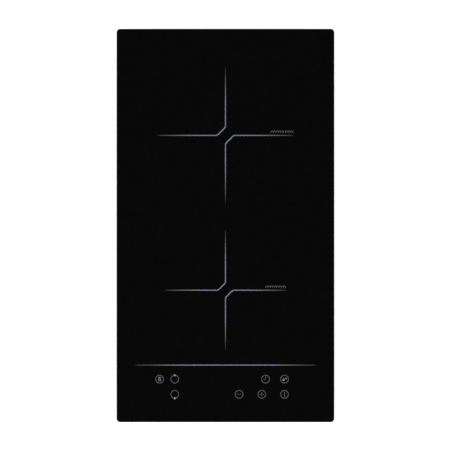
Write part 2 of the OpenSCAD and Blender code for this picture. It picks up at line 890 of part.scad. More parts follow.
module heat_sink() {
    pitch = (sink_x[1] - sink_x[0] - fin_t) / (fin_count - 1);
    color("#b7babd")
        difference() {
            translate([0, sink_y[1], 0])
                rotate([90, 0, 0])
                    linear_extrude(sink_y[1] - sink_y[0]) {
                        translate([sink_x[0], sink_z[0]])
                            square([sink_x[1] - sink_x[0] + sink_wall, sink_base]);
                        translate([sink_x[1], sink_z[0]])
                            square([sink_wall, sink_z[1] - sink_z[0]]);
                        for (k = [0:fin_count - 2])
                            translate([sink_x[0] + k * pitch, sink_z[0]])
                                square([fin_t, sink_z[1] - sink_z[0] - 1]);
                    }
            for (y = concat(transistor_ys, [rectifier_y]))
                translate([device_x - 6, y, device_screw_z])
                    rotate([0, 90, 0])
                        cylinder(r = screw_bore_r, h = 8);
        }
}

// A flat power device standing against the heat sink, with its legs down to the board.
module power_device(y, w, h, legs) {
    leg_pitch = 5.4;
    difference() {
        union() {
            span_box([device_x + fit_gap, device_x + fit_gap + device_t], [y - w / 2, y + w / 2], [12, 12 + h]);
            for (k = [0:legs - 1]) {
                leg_y = y + (k - (legs - 1) / 2) * leg_pitch;
                span_box([device_x + 2, device_x + 2.8], [leg_y - 0.6, leg_y + 0.6], [board_top, 12.5]);
            }
        }
        translate([device_x - 1, y, device_screw_z])
            rotate([0, 90, 0])
                cylinder(r = screw_hole_r, h = 10);
    }
}

module transistors() {
    color("#1c1c1e")
        for (y = transistor_ys)
            power_device(y, 15.8, 15.5, 3);
}

module rectifier() {
    color("#26262a")
        power_device(rectifier_y, 28, 15, 4);
}

module part_boxes(list, z) {
    for (b = list)
        translate([b[0], b[1], z])
            cube([b[2], b[3], b[4]]);
}

module film_capacitors() {
    color("#a8342c")
        part_boxes(film_capacitor_boxes, board_top);
}

module can_capacitors() {
    color("#2a3550")
        for (c = can_capacitor_rods)
            translate([c[0], c[1], board_top])
                rotate_extrude()
                    polygon([[0, 0], [c[2] - 0.4, 0], [c[2], 0.6], [c[2], 1.8], [c[2] - 0.7, 2.4], [c[2], 3],
                        [c[2], c[3] - 0.7], [c[2] - 0.7, c[3]], [0, c[3]]]);
}

module choke_core() {
    color("#3d4043")
        sleeve(choke_at, choke_r[1], choke_r[0], choke_z);
}

module choke_winding() {
    gap = 0.3;
    inner = [choke_r[0] - gap, choke_r[1] + gap];
    outer = [inner[0] - choke_wire, inner[1] + choke_wire];
    color("#b5652e")
        translate([choke_at[0], choke_at[1], 0])
            for (half = [0, 180], k = [-4:4])
                rotate(half + 16 * k)
                    rotate([90, 0, 0])
                        linear_extrude(choke_wire, center = true)
                            difference() {
                                translate([outer[0], choke_z[0] - gap - choke_wire])
                                    square([outer[1] - outer[0],
                                        choke_z[1] - choke_z[0] + 2 * (gap + choke_wire)]);
                                translate([inner[0], choke_z[0] - gap])
                                    square([inner[1] - inner[0], choke_z[1] - choke_z[0] + 2 * gap]);
                            }
}

module relay() {
    color("#1f4f8f")
        span_box([78, 98], [56, 72], [board_top, board_top + 15.5]);
}

module transformer() {
    color("#d6b23a") {
        span_box([-30, -8], [-56, -42], [board_top, board_top + 3]);
        span_box([-27, -11], [-60, -38], [board_top + 2.9, board_top + 16]);
        span_box([-30, -8], [-53, -45], [board_top + 2.9, board_top + 17.4]);
    }
}

module coil_terminals() {
    color("#c8a755")
        for (p = coil_terminals_at) {
            span_box([p[0] - 4.5, p[0] + 4.5], [p[1] - 4.5, p[1] + 4.5], [board_top, board_top + 3.6]);
            post(p, 3.2, [board_top + 3.5, 14.9]);
        }
}

// A plug socket with a hollow top.
module socket(x, y, z) {
    difference() {
        span_box(x, y, z);
        span_box([x[0] + 1, x[1] - 1], [y[0] + 1, y[1] - 1], [z[1] - 1.5, z[1] + 1]);
    }
}

module board_connectors() {
    color("#ecebe6") {
        span_box([66, 92], [90, 101], [board_top, 16.1]);
        span_box([-32, -22], [94, 101], [board_top, 14.1]);
        span_box([4, 14], [94, 101], [board_top, 14.1]);
        span_box([10, 20], [-68, -61], [board_top, 14.1]);
        socket([-12, 12], [-147, -137], [board_top, 14]);
        span_box([-12, 12], [-207, -197], [33, control_z]);
    }
}

module board_chips() {
    color("#161618") {
        part_boxes(chip_boxes, board_top);
        part_boxes([[-8, -226, 12, 12, 1.6]], control_top);
    }
}

// ---------------------------------------------------------------- blower

function scroll_radius(a) =
    scroll_r[0] + (scroll_r[1] - scroll_r[0]) * (a - scroll_angles[0]) / (scroll_angles[1] - scroll_angles[0]);

// Outline of the blower's scroll and outlet, grown by the given amount.
module scroll_outline(grow) {
    spiral = [for (a = [scroll_angles[0]:5:scroll_angles[1]])
        (scroll_radius(a) + grow) * [cos(a), sin(a)]];
    tongue_x = scroll_r[0] * cos(scroll_angles[0]) + grow;
    translate(fan_at)
        polygon(concat(spiral, [[-scroll_r[1] - grow, -outlet_l], [tongue_x, -outlet_l]]));
}

module fan_housing() {
    color("#202023")
        difference() {
            union() {
                difference() {
                    translate([0, 0, fan_z[0]])
                        linear_extrude(fan_z[1] - fan_z[0])
                            scroll_outline(scroll_wall);
                    translate([0, 0, fan_z[0] + fan_floor_t])
                        linear_extrude(fan_z[1])
                            scroll_outline(0);
                    span_box([fan_at[0] - scroll_r[1], fan_at[0] + scroll_r[0] * cos(scroll_angles[0])],
                        [fan_at[1] - outlet_l - 1, fan_at[1] - outlet_l + 3], [fan_z[0] + fan_floor_t, 40]);
                }
                for (p = fan_ears)
                    difference() {
                        union() {
                            ear(p);
                            translate([0, 0, ear_z[0]])
                                linear_extrude(ear_z[1] - ear_z[0])
                                    polygon([p + [0, -5], p + [0, 5], (p * 2 + fan_at) / 3 + [0, 5],
                                        (p * 2 + fan_at) / 3 + [0, -5]]);
                        }
                        translate([0, 0, 1])
                            linear_extrude(30)
                                scroll_outline(0);
                    }
            }
            post(fan_at, fan_inlet_r, [0, fan_z[0] + 3]);
            for (p = fan_ears) {
                post(p, screw_hole_r, [0, 10]);
                post(p, 3.1, [0, ear_z[0]]);
            }
        }
}

module fan_cover() {
    color("#1a1a1c")
        difference() {
            translate([0, 0, fan_z[1]])
                linear_extrude(fan_cover_t)
                    scroll_outline(scroll_wall);
            post(fan_at, 8, [fan_z[1] - 1, fan_z[1] + 5]);
        }
}

module fan_motor() {
    color("#8a8d90")
        translate([fan_at[0], fan_at[1], 0])
            difference() {
                union() {
                    post([0, 0], stator_r, [10.5, fan_z[1]]);
                    post([0, 0], 7.9, [fan_z[1] - 0.5, fan_z[1] + fan_cover_t]);
                }
                post([0, 0], shaft_r + pin_gap, [9, fan_z[1] - 1]);
                for (a = [0:60:300])
                    rotate(a)
                        span_box([9, 15], [-1.2, 1.2], [9, 21]);
            }
}

module fan_impeller() {
    color("#303034")
        translate([fan_at[0], fan_at[1], 0]) {
            sleeve([0, 0], cup_r, cup_r - cup_wall, [7, blade_z[1] + 1.5]);
            post([0, 0], cup_r, [7, 8.5]);
            post([0, 0], shaft_r, [8, 22]);
            sleeve([0, 0], impeller_r, cup_r - 0.5, [blade_z[1], blade_z[1] + 1.5]);
            sleeve([0, 0], impeller_r, impeller_r - 3, [blade_z[0] - 1, blade_z[0] + 0.5]);
            for (k = [0:blade_count - 1])
                rotate(360 / blade_count * k)
                    translate([impeller_r - 4.6, 0, blade_z[0]])
                        rotate(35)
                            translate([-4.2, -0.4, 0])
                                cube([8.4, 0.8, blade_z[1] - blade_z[0] + 0.5]);
        }
}

// ---------------------------------------------------------------- touch controls

module control_carrier() {
    mid_y = (carrier_y[0] + carrier_y[1]) / 2;
    length = carrier_y[1] - carrier_y[0];
    color("#e2e0d8")
        difference() {
            union() {
                translate([0, mid_y, 0]) {
                    ring_slab(2 * carrier_x, length, 3, 8, [carrier_z, carrier_z + carrier_t]);
                    ring_slab(2 * carrier_x, length, 3, 1.6, [carrier_z, control_top + 1]);
                }
                for (p = carrier_legs) {
                    post(p, 4, [ear_z[0], carrier_z + 0.5]);
                    ear([p[0] - sign(p[0]) * leg_to_screw, p[1]]);
                    span_box(p[0] > 0 ? [p[0] - leg_to_screw, p[0]] : [p[0], p[0] + leg_to_screw],
                        [p[1] - 3, p[1] + 3], ear_z);
                }
            }
            for (p = carrier_legs)
                post([p[0] - sign(p[0]) * leg_to_screw, p[1]], screw_hole_r, [0, 10]);
        }
}

module control_board() {
    mid_y = (carrier_y[0] + carrier_y[1]) / 2;
    length = carrier_y[1] - carrier_y[0];
    color("#2f6b45")
        translate([0, mid_y, 0])
            rounded_slab(2 * carrier_x - 4, length - 4, 2, [control_z, control_top]);
}

// Key springs are shown as plain tubes of the coil's true diameter and height.
module touch_springs() {
    color("#c8cacc")
        for (p = keys_at)
            sleeve(p, key_spring_r, key_spring_r - 1, [control_top, z_glass - fit_gap]);
}

module displays() {
    color("#141416")
        for (d = display_boxes)
            span_box([d[0] - d[2] / 2, d[0] + d[2] / 2], [d[1] - d[3] / 2, d[1] + d[3] / 2],
                [control_top, z_glass - 0.6]);
}

module buzzer() {
    color("#18181a")
        sleeve([-16, -213], 6, 1.2, [control_top, control_top + 6]);
}

// A flat cable that follows its line in the YZ plane.
module ribbon_cable() {
    line = smooth_path([for (p = ribbon_line) [p[0], p[1], 0]], 3);
    along = tangents(line);
    function edge(side) = [for (i = [0:len(line) - 1])
        [line[i][0] - side * along[i][1] * ribbon_t / 2, line[i][1] + side * along[i][0] * ribbon_t / 2]];
    back = edge(-1);
    color("#c9c9c4")
        rotate([90, 0, 90])
            linear_extrude(ribbon_w, center = true)
                polygon(concat(edge(1), [for (i = [len(back) - 1:-1:0]) back[i]]));
}

module mains_leads() {
    color("#3b6fb0")
        for (p = [live_path, neutral_path, earth_path])
            lead(p, mains_d);
}

// ---------------------------------------------------------------- nodes

glass_top();
glass_bond();
glass_frame();
worktop_seal();
base_tray();
frame_screws();
clamp(1, 1);  // clamp_rear_right
clamp(-1, 1);  // clamp_rear_left
clamp(1, -1);  // clamp_front_right
clamp(-1, -1);  // clamp_front_left
clamp_screws();
terminal_box();
terminal_lid();
terminal_block();
terminal_screws();
cable_gland();
gland_nut();
coil_deck();
deck_pillars();
at_rear_zone() coil_former(rear_zone_d);  // rear_coil_former
at_rear_zone() coil_winding(rear_zone_d);  // rear_winding
at_rear_zone() coil_ferrites(rear_zone_d);  // rear_ferrites
at_rear_zone() coil_insulation(rear_zone_d);  // rear_insulation
at_rear_zone() zone_sensor();  // rear_sensor
at_front_zone() coil_former(front_zone_d);  // front_coil_former
at_front_zone() coil_winding(front_zone_d);  // front_winding
at_front_zone() coil_ferrites(front_zone_d);  // front_ferrites
at_front_zone() coil_insulation(front_zone_d);  // front_insulation
at_front_zone() zone_sensor();  // front_sensor
coil_springs();
sensor_springs();
coil_leads(rear_lead_paths);  // rear_coil_leads
coil_leads(front_lead_paths);  // front_coil_leads
sensor_leads();
power_board();
board_pillars();
chassis_screws();
heat_sink();
transistors();
rectifier();
film_capacitors();
can_capacitors();
choke_core();
choke_winding();
relay();
transformer();
coil_terminals();
board_connectors();
board_chips();
fan_housing();
fan_cover();
fan_motor();
fan_impeller();
control_carrier();
control_board();
touch_springs();
displays();
buzzer();
ribbon_cable();
mains_leads();
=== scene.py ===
"""Looks of a built-in induction cooktop with two zones, made round its fixed frame."""

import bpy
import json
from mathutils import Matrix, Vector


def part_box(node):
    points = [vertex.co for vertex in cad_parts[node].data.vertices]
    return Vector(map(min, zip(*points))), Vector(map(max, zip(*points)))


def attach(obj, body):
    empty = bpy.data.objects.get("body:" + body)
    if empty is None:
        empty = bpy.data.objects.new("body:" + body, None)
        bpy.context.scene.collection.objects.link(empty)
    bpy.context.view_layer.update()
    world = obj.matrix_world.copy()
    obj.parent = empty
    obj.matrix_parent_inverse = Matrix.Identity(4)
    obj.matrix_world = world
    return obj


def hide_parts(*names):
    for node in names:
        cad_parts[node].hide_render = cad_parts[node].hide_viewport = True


bl_info = {
    "name": "Induction Cooktop",
    "version": (1, 0, 0),
    "blender": (4, 5, 0),
    "location": "3D View > Sidebar > Cooktop",
    "description": "Builds the printed glass, sheet metal, coils, boards and blower of a built-in cooktop",
    "category": "Object",
}

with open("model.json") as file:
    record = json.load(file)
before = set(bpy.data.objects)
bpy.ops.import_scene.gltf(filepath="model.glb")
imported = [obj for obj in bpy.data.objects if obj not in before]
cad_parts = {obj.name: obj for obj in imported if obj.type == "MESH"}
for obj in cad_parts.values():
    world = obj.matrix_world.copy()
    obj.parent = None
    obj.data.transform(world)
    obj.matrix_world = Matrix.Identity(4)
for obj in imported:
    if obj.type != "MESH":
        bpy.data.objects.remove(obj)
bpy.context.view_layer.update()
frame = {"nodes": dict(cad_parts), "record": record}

import json
import math
import random

import bmesh
import bpy
from mathutils import Matrix, Vector, geometry

MM = 0.001
CHASSIS = "chassis"


def box_mm(node):
    """Lowest and highest corner of a frame node, in millimetres."""
    low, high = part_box(node)
    return low / MM, high / MM


def centre_mm(node):
    low, high = box_mm(node)
    return (low + high) / 2


GLASS_TOP = box_mm("glass_top")[1].z
REAR_ZONE = centre_mm("rear_winding")
FRONT_ZONE = centre_mm("front_winding")
FAN_CENTRE = centre_mm("fan_impeller")
KEY_ROWS = (-203.0, -223.0)
KEYS = {
    "boost": (-87.0, KEY_ROWS[0]),
    "rear_zone": (-67.0, KEY_ROWS[0]),
    "front_zone": (-67.0, KEY_ROWS[1]),
    "timer": (53.0, KEY_ROWS[0]),
    "lock": (78.0, KEY_ROWS[0]),
    "minus": (18.0, KEY_ROWS[1]),
    "plus": (48.0, KEY_ROWS[1]),
    "power": (78.0, KEY_ROWS[1]),
}
SLOT_OF = {row["node"]: row["material_slot"] for row in frame["record"]["subparts"]}


# ------------------------------------------------------------------ settings


def length_setting(name, description, default_mm):
    return bpy.props.FloatProperty(
        name=name, description=description, default=default_mm * MM, min=0.0, unit="LENGTH", precision=5
    )


def colour_setting(name, description, default):
    return bpy.props.FloatVectorProperty(
        name=name, description=description, default=default, size=3, min=0.0, max=4.0, subtype="COLOR"
    )


class PrintSettings(bpy.types.PropertyGroup):
    """Ink and sizes of what is printed on the glass."""

    line_width: length_setting("Line width", "Width of a zone line at its middle", 1.25)
    tip_width: length_setting("Tip width", "Width of a zone line at its tips", 1.05)
    corner_share: bpy.props.FloatProperty(
        name="Corner share", description="Chamfer of a zone mark as a share of its half length", default=0.121
    )
    ring_radius: length_setting("Ring radius", "Radius of the line round each key", 5.15)
    ring_width: length_setting("Ring width", "Width of the line round each key", 0.85)
    ink_height: length_setting("Ink height", "Thickness of the fired ink", 0.03)
    violet: colour_setting("Violet", "Pearl tone of the middle of a line", (0.366, 0.346, 0.577))
    pale: colour_setting("Pale", "Pearl tone of the chamfers", (0.45, 0.43, 0.63))
    # the teal is painted sheen: the pearl ink's colour play over one chamfer of the rear mark, painted as a
    # fixed tone
    teal_sheen: colour_setting("Teal", "Pearl tone that plays over one chamfer", (0.40, 0.52, 0.66))
    grey: colour_setting("Grey", "Tone of the outer part of a line", (0.366, 0.366, 0.366))
    key_grey: colour_setting("Key grey", "Tone of the rings and symbols", (0.193, 0.193, 0.195))
    bright: colour_setting("Bright", "Tone of the selector dots", (0.49, 0.49, 0.54))
    boost: colour_setting("Boost", "Tone of the chevrons of the boost key", (0.30, 0.35, 0.52))


class MetalSettings(bpy.types.PropertyGroup):
    """Colours of the metals."""

    zinc: colour_setting("Zinc", "Galvanised sheet", (0.44, 0.455, 0.475))
    spangle: length_setting("Spangle", "Size of the zinc crystals", 7.0)
    steel: colour_setting("Steel", "Clamps and pillars", (0.56, 0.57, 0.58))
    aluminium: colour_setting("Aluminium", "Coil deck and heat sink", (0.80, 0.81, 0.82))
    copper: colour_setting("Copper", "Enamelled litz wire", (0.62, 0.27, 0.11))
    brass: colour_setting("Brass", "Terminals", (0.76, 0.57, 0.25))


class PlasticSettings(bpy.types.PropertyGroup):
    """Colours of plastics, rubber, ceramics and the circuit boards."""

    glass: colour_setting("Glass", "Body colour of the ceramic glass", (0.0038, 0.0038, 0.0039))
    black: colour_setting("Black nylon", "Terminal box, gland, blower", (0.022, 0.022, 0.024))
    cream: colour_setting("Cream nylon", "Terminal block, carrier, pillars", (0.74, 0.71, 0.62))
    board: colour_setting("Board", "Solder mask", (0.012, 0.11, 0.045))
    grain: length_setting("Grain", "Size of the moulded surface grain", 0.6)


class StageSettings(bpy.types.PropertyGroup):
    """Floor, light and camera."""

    floor: colour_setting("Floor", "Pale floor", (0.86, 0.86, 0.86))
    glow: bpy.props.FloatProperty(name="Glow", description="Light given off by the floor", default=0.80)
    sky: bpy.props.FloatProperty(name="Sky", description="Strength of the soft light all round", default=0.5)
    view_width: length_setting("View width", "Width of the view at the glass", 594.5)
    view_shift_x: bpy.props.FloatProperty(name="View shift X", default=-0.60 * MM, unit="LENGTH",
        description="Sideways offset of the view's middle from the glass's middle")
    view_shift_y: bpy.props.FloatProperty(name="View shift Y", default=0.66 * MM, unit="LENGTH",
        description="Lengthways offset of the view's middle from the glass's middle")
    lens: bpy.props.FloatProperty(name="Lens", description="Focal length in millimetres", default=300.0)


# ------------------------------------------------------------------ shapes


class Shape:
    """Points, faces and texture places of one piece, in millimetres."""

    def __init__(self):
        self.points = []
        self.faces = []
        self.places = []
        self.tints = []

    def add(self, points, faces, places=None, tint=0):
        first = len(self.points)
        self.points += [Vector(p) for p in points]
        self.places += places or [(0.0, 0.0)] * len(points)
        self.faces += [tuple(first + i for i in face) for face in faces]
        self.tints += [tint] * len(faces)

    def rings(self, rings, closed=True, caps=True, places=None, tint=0):
        """Skins a list of rings that all have the same number of points."""
        count = len(rings[0])
        points = [p for ring in rings for p in ring]
        faces = []
        span = count if closed else count - 1
        for i in range(len(rings) - 1):
            for k in range(span):
                n = (k + 1) % count
                faces.append((i * count + k, i * count + n, (i + 1) * count + n, (i + 1) * count + k))
        if caps:
            faces.append(tuple(reversed(range(count))))
            faces.append(tuple((len(rings) - 1) * count + k for k in range(count)))
        self.add(points, faces, places, tint)

    def loop(self, rings, tint=0):
        """Skins a closed chain of rings, such as a torus or a picture frame."""
        count, total = len(rings[0]), len(rings)
        faces = [
            (i * count + k, i * count + (k + 1) % count,
             ((i + 1) % total) * count + (k + 1) % count, ((i + 1) % total) * count + k)
            for i in range(total) for k in range(count)
        ]
        self.add([p for ring in rings for p in ring], faces, None, tint)

    def lathe(self, profile, steps, at, tint=0):
        """Turns a profile of (radius, height) pairs about +Z. An end with a radius gets a cap."""
        place = Matrix.Translation(at)
        hollow = profile[0] == profile[-1]
        rings = []
        for k in range(steps):
            a = math.tau * k / steps
            rings.append([place @ Vector((r * math.cos(a), r * math.sin(a), z)) for r, z in profile])
        if hollow:
            self.loop([ring[:-1] for ring in rings], tint)
            return
        count = len(profile)
        points = [p for ring in rings for p in ring]
        faces = [
            (k * count + i, ((k + 1) % steps) * count + i, ((k + 1) % steps) * count + i + 1, k * count + i + 1)
            for k in range(steps) for i in range(count - 1)
        ]
        for i in (0, count - 1):
            if profile[i][0] > 0:
                faces.append(tuple(k * count + i for k in range(steps)))
        self.add(points, faces, None, tint)

    def tube(self, path, radius, sides=10, tint=0, pitch_mm=1.0, strands=0, lay_mm=20.0):
        """Sweeps a circle along a path; strands press grooves into it that wind round once in each lay."""
        path = [Vector(p) for p in path]
        rings, places = [], []
        side, run = None, 0.0
        for i, p in enumerate(path):
            along = (path[min(i + 1, len(path) - 1)] - path[max(i - 1, 0)]).normalized()
            if side is None:
                side = along.orthogonal().normalized()
            side = (side - along * side.dot(along)).normalized()
            up = along.cross(side)
            if i:
                run += (p - path[i - 1]).length
            r = radius(i / (len(path) - 1)) if callable(radius) else radius
            ring = []
            for k in range(sides):
                a = math.tau * k / sides
                groove = 0.12 * (0.5 - 0.5 * math.cos(strands * a - math.tau * run / lay_mm)) if strands else 0.0
                ring.append(p + r * (1 - groove) * (math.cos(a) * side + math.sin(a) * up))
                places.append((run / pitch_mm, k / sides))
            rings.append(ring)
        self.rings(rings, places=places, tint=tint)

    def stack(self, levels, at=(0, 0, 0), turn=None, count=48, hollow=False, tint=0):
        """Skins outlines given as (radius or radius by angle, height); hollow joins the last to the first."""
        place = Matrix.Translation(at) @ (turn or Matrix.Identity(4))
        rings = [[place @ Vector((x, y, z)) for x, y in outline_at(r, count)] for r, z in levels]
        if hollow:
            self.loop(rings, tint)
        else:
            self.rings(rings, tint=tint)

    def merge(self, other):
        first = len(self.points)
        self.points += other.points
        self.places += other.places
        self.faces += [tuple(first + i for i in face) for face in other.faces]
        self.tints += other.tints

    def prism(self, outline, z, bevel=0.0, tint=0, turn=None):
        """Stands an outline between two heights, with its upper and lower edges bevelled."""
        place = turn or Matrix.Identity(4)
        if bevel:
            small = inset(outline, bevel)
            levels = [(small, z[0]), (outline, z[0] + bevel), (outline, z[1] - bevel), (small, z[1])]
        else:
            levels = [(outline, z[0]), (outline, z[1])]
        self.rings([[place @ Vector((x, y, h)) for x, y in line] for line, h in levels], tint=tint)

    def block(self, low, high, bevel=0.0, corner=0.0, tint=0):
        """A box with rounded upright corners and bevelled edges."""
        outline = rounded_rectangle(low, high, corner or bevel or 0.01)
        self.prism(outline, (low[2], high[2]), bevel, tint)

    def stroke(self, path, half_width, z, tint=0, closed=False):
        """A flat line of ink along a path, with its place along the line kept for the colour."""
        path = [Vector((p[0], p[1])) for p in path]
        total = len(path)
        rings, places = [], []
        for i, p in enumerate(path):
            before = path[i - 1] if closed or i else p
            after = path[(i + 1) % total] if closed or i < total - 1 else p
            along = (after - before).normalized()
            across = Vector((-along.y, along.x))
            share = i / total if closed else i / (total - 1)
            w = half_width(share) if callable(half_width) else half_width
            left, right = p + across * w, p - across * w
            rings.append([(left.x, left.y, z[0]), (right.x, right.y, z[0]), (right.x, right.y, z[1]),
                          (left.x, left.y, z[1])])
            places += [(share, 0.0), (share, 1.0), (share, 1.0), (share, 0.0)]
        if closed:
            self.loop(rings, tint)
            self.places[-len(places):] = places
        else:
            self.rings(rings, places=places, tint=tint)


def outline_at(radius_of, count=48):
    """A closed outline whose radius is a number or a function of the angle."""
    result = []
    for k in range(count):
        a = math.tau * k / count
        r = radius_of(a) if callable(radius_of) else radius_of
        result.append((r * math.cos(a), r * math.sin(a)))
    return result


def hexagon(corner_radius, limit=None):
    """Radius of a hexagon by angle, with its corners turned down to a limit."""
    def radius_of(a):
        r = corner_radius * math.cos(math.pi / 6) / math.cos(a % (math.pi / 3) - math.pi / 6)
        return min(r, limit) if limit else r
    return radius_of


def cross(length, width):
    """Radius of a cross-shaped recess by angle."""
    def radius_of(a):
        c, s = abs(math.cos(a)) + 1e-9, abs(math.sin(a)) + 1e-9
        return max(min(length / c, width / s), min(length / s, width / c))
    return radius_of


def facing(direction):
    """A turn that points a shape's +Z along a direction."""
    return Vector(direction).to_track_quat("Z", "Y").to_matrix().to_4x4()


def islands(node):
    """Lowest and highest corner of each separate solid of a frame node, in millimetres."""
    mesh = frame["nodes"][node].data
    work = bmesh.new()
    work.from_mesh(mesh)
    bmesh.ops.remove_doubles(work, verts=work.verts, dist=1e-6)
    seen, found = set(), []
    for vertex in work.verts:
        if vertex in seen:
            continue
        seen.add(vertex)
        todo, low, high = [vertex], vertex.co.copy(), vertex.co.copy()
        while todo:
            v = todo.pop()
            low = Vector(map(min, low, v.co))
            high = Vector(map(max, high, v.co))
            for edge in v.link_edges:
                other = edge.other_vert(v)
                if other not in seen:
                    seen.add(other)
                    todo.append(other)
        found.append((low / MM, high / MM))
    work.free()
    return sorted(found, key=lambda pair: tuple(round(c, 2) for c in (*pair[0], *pair[1])))


def inset(outline, amount):
    """Moves each side of a closed outline inwards by the same amount."""
    points = [Vector((p[0], p[1])) for p in outline]
    area = sum(a.x * b.y - b.x * a.y for a, b in zip(points, points[1:] + points[:1]))
    sign = 1 if area > 0 else -1
    result = []
    for i, p in enumerate(points):
        a = (p - points[i - 1]).normalized()
        b = (points[(i + 1) % len(points)] - p).normalized()
        na, nb = Vector((-a.y, a.x)) * sign, Vector((-b.y, b.x)) * sign
        middle = na + nb
        middle = middle / max(middle.length_squared, 0.2) * 2
        q = p + middle * amount
        result.append((q.x, q.y))
    return result


def arc(centre, radius, start, end, steps):
    """Points along an arc, angles in degrees, both ends included."""
    return [
        (centre[0] + radius * math.cos(math.radians(start + (end - start) * i / steps)),
         centre[1] + radius * math.sin(math.radians(start + (end - start) * i / steps)))
        for i in range(steps + 1)
    ]


def rounded_rectangle(low, high, radius, steps=4):
    outline = []
    corners = ((high[0], high[1], 0), (low[0], high[1], 90), (low[0], low[1], 180), (high[0], low[1], 270))
    for x, y, a in corners:
        centre = (x - radius if x == high[0] else x + radius, y - radius if y == high[1] else y + radius)
        outline += arc(centre, radius, a, a + 90, steps)
    return outline


def filleted(points, radius):
    """A path with each inner vertex rounded by a curve that starts at the given distance from it."""
    points = [Vector(p) for p in points]
    path, steps = [points[0]], 8
    for before, p, after in zip(points, points[1:], points[2:]):
        a = p + (before - p).normalized() * radius
        b = p + (after - p).normalized() * radius
        for i in range(steps + 1):
            t = i / steps
            path.append(a * (1 - t) ** 2 + p * 2 * t * (1 - t) + b * t * t)
    path.append(points[-1])
    return path


def evenly(path, spacing):
    """Points at one spacing along a path."""
    path = [Vector(p) for p in path]
    total = sum((b - a).length for a, b in zip(path, path[1:]))
    count = max(2, round(total / spacing))
    result, target, run, i = [path[0]], total / count, 0.0, 0
    while len(result) < count:
        step = (path[i + 1] - path[i]).length
        while run + step >= target * len(result) and len(result) < count:
            result.append(path[i].lerp(path[i + 1], (target * len(result) - run) / step))
        run += step
        i += 1
    result.append(path[-1])
    return result


def smooth_path(points, steps=8):
    """A smooth curve through given points."""
    p = [Vector(q) for q in points]
    result = []
    for i in range(len(p) - 1):
        a, b, c, d = p[max(i - 1, 0)], p[i], p[i + 1], p[min(i + 2, len(p) - 1)]
        for s in range(steps):
            t = s / steps
            result.append(0.5 * (2 * b + (c - a) * t + (2 * a - 5 * b + 4 * c - d) * t ** 2
                                 + (3 * b - a - 3 * c + d) * t ** 3))
    result.append(p[-1])
    return result


SHARP_ANGLE = 35.0    # degrees; a steeper fold than this is shaded as an edge


def raw_mesh(name, shape):
    """A mesh with a shape's points and faces, in metres."""
    mesh = bpy.data.meshes.new(name)
    mesh.from_pydata([p * MM for p in shape.points], [], shape.faces)
    return mesh


def piece(name, shape, finishes, body=CHASSIS, stands_for=None, sharp=SHARP_ANGLE):
    """Turns a shape into an object that rides on a body; finishes are materials or slot names."""
    mesh = raw_mesh(name, shape)
    layer = mesh.uv_layers.new(name="Along")
    for corner in mesh.loops:
        layer.data[corner.index].uv = shape.places[corner.vertex_index]
    finishes = finishes if isinstance(finishes, list) else [finishes]
    for finish in finishes:
        mesh.materials.append(finish_for(finish) if isinstance(finish, str) else finish)
    for polygon, tint in zip(mesh.polygons, shape.tints):
        polygon.material_index = tint
        polygon.use_smooth = True
    work = bmesh.new()
    work.from_mesh(mesh)
    bmesh.ops.remove_doubles(work, verts=work.verts, dist=1e-7)
    bmesh.ops.recalc_face_normals(work, faces=work.faces)
    work.to_mesh(mesh)
    work.free()
    mesh.set_sharp_from_angle(angle=math.radians(sharp))
    obj = bpy.data.objects.new(name, mesh)
    bpy.context.scene.collection.objects.link(obj)
    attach(obj, body)
    if stands_for:
        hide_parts(stands_for)
    return obj


def carve(obj, *cutters):
    """Cuts closed shapes out of a piece and keeps the result as its mesh."""
    scene = bpy.context.scene
    tools = []
    for shape in cutters:
        mesh = raw_mesh("cutter", shape)
        work = bmesh.new()
        work.from_mesh(mesh)
        bmesh.ops.recalc_face_normals(work, faces=work.faces)
        work.to_mesh(mesh)
        work.free()
        tool = bpy.data.objects.new("cutter", mesh)
        scene.collection.objects.link(tool)
        cut = obj.modifiers.new("cut", "BOOLEAN")
        cut.object, cut.operation, cut.solver = tool, "DIFFERENCE", "EXACT"
        tools.append(tool)
    bpy.context.view_layer.update()
    done = bpy.data.meshes.new_from_object(obj.evaluated_get(bpy.context.evaluated_depsgraph_get()))
    obj.modifiers.clear()
    obj.data = done
    done.set_sharp_from_angle(angle=math.radians(SHARP_ANGLE))
    for tool in tools:
        bpy.data.objects.remove(tool)


def join(obj, shape):
    """Adds more closed shapes to a piece that has been carved."""
    more = raw_mesh("more", shape)
    for polygon in more.polygons:
        polygon.use_smooth = True
    work = bmesh.new()
    work.from_mesh(obj.data)
    work.from_mesh(more)
    bmesh.ops.recalc_face_normals(work, faces=work.faces)
    work.to_mesh(obj.data)
    work.free()
    obj.data.set_sharp_from_angle(angle=math.radians(SHARP_ANGLE))


# ------------------------------------------------------------------ finishes


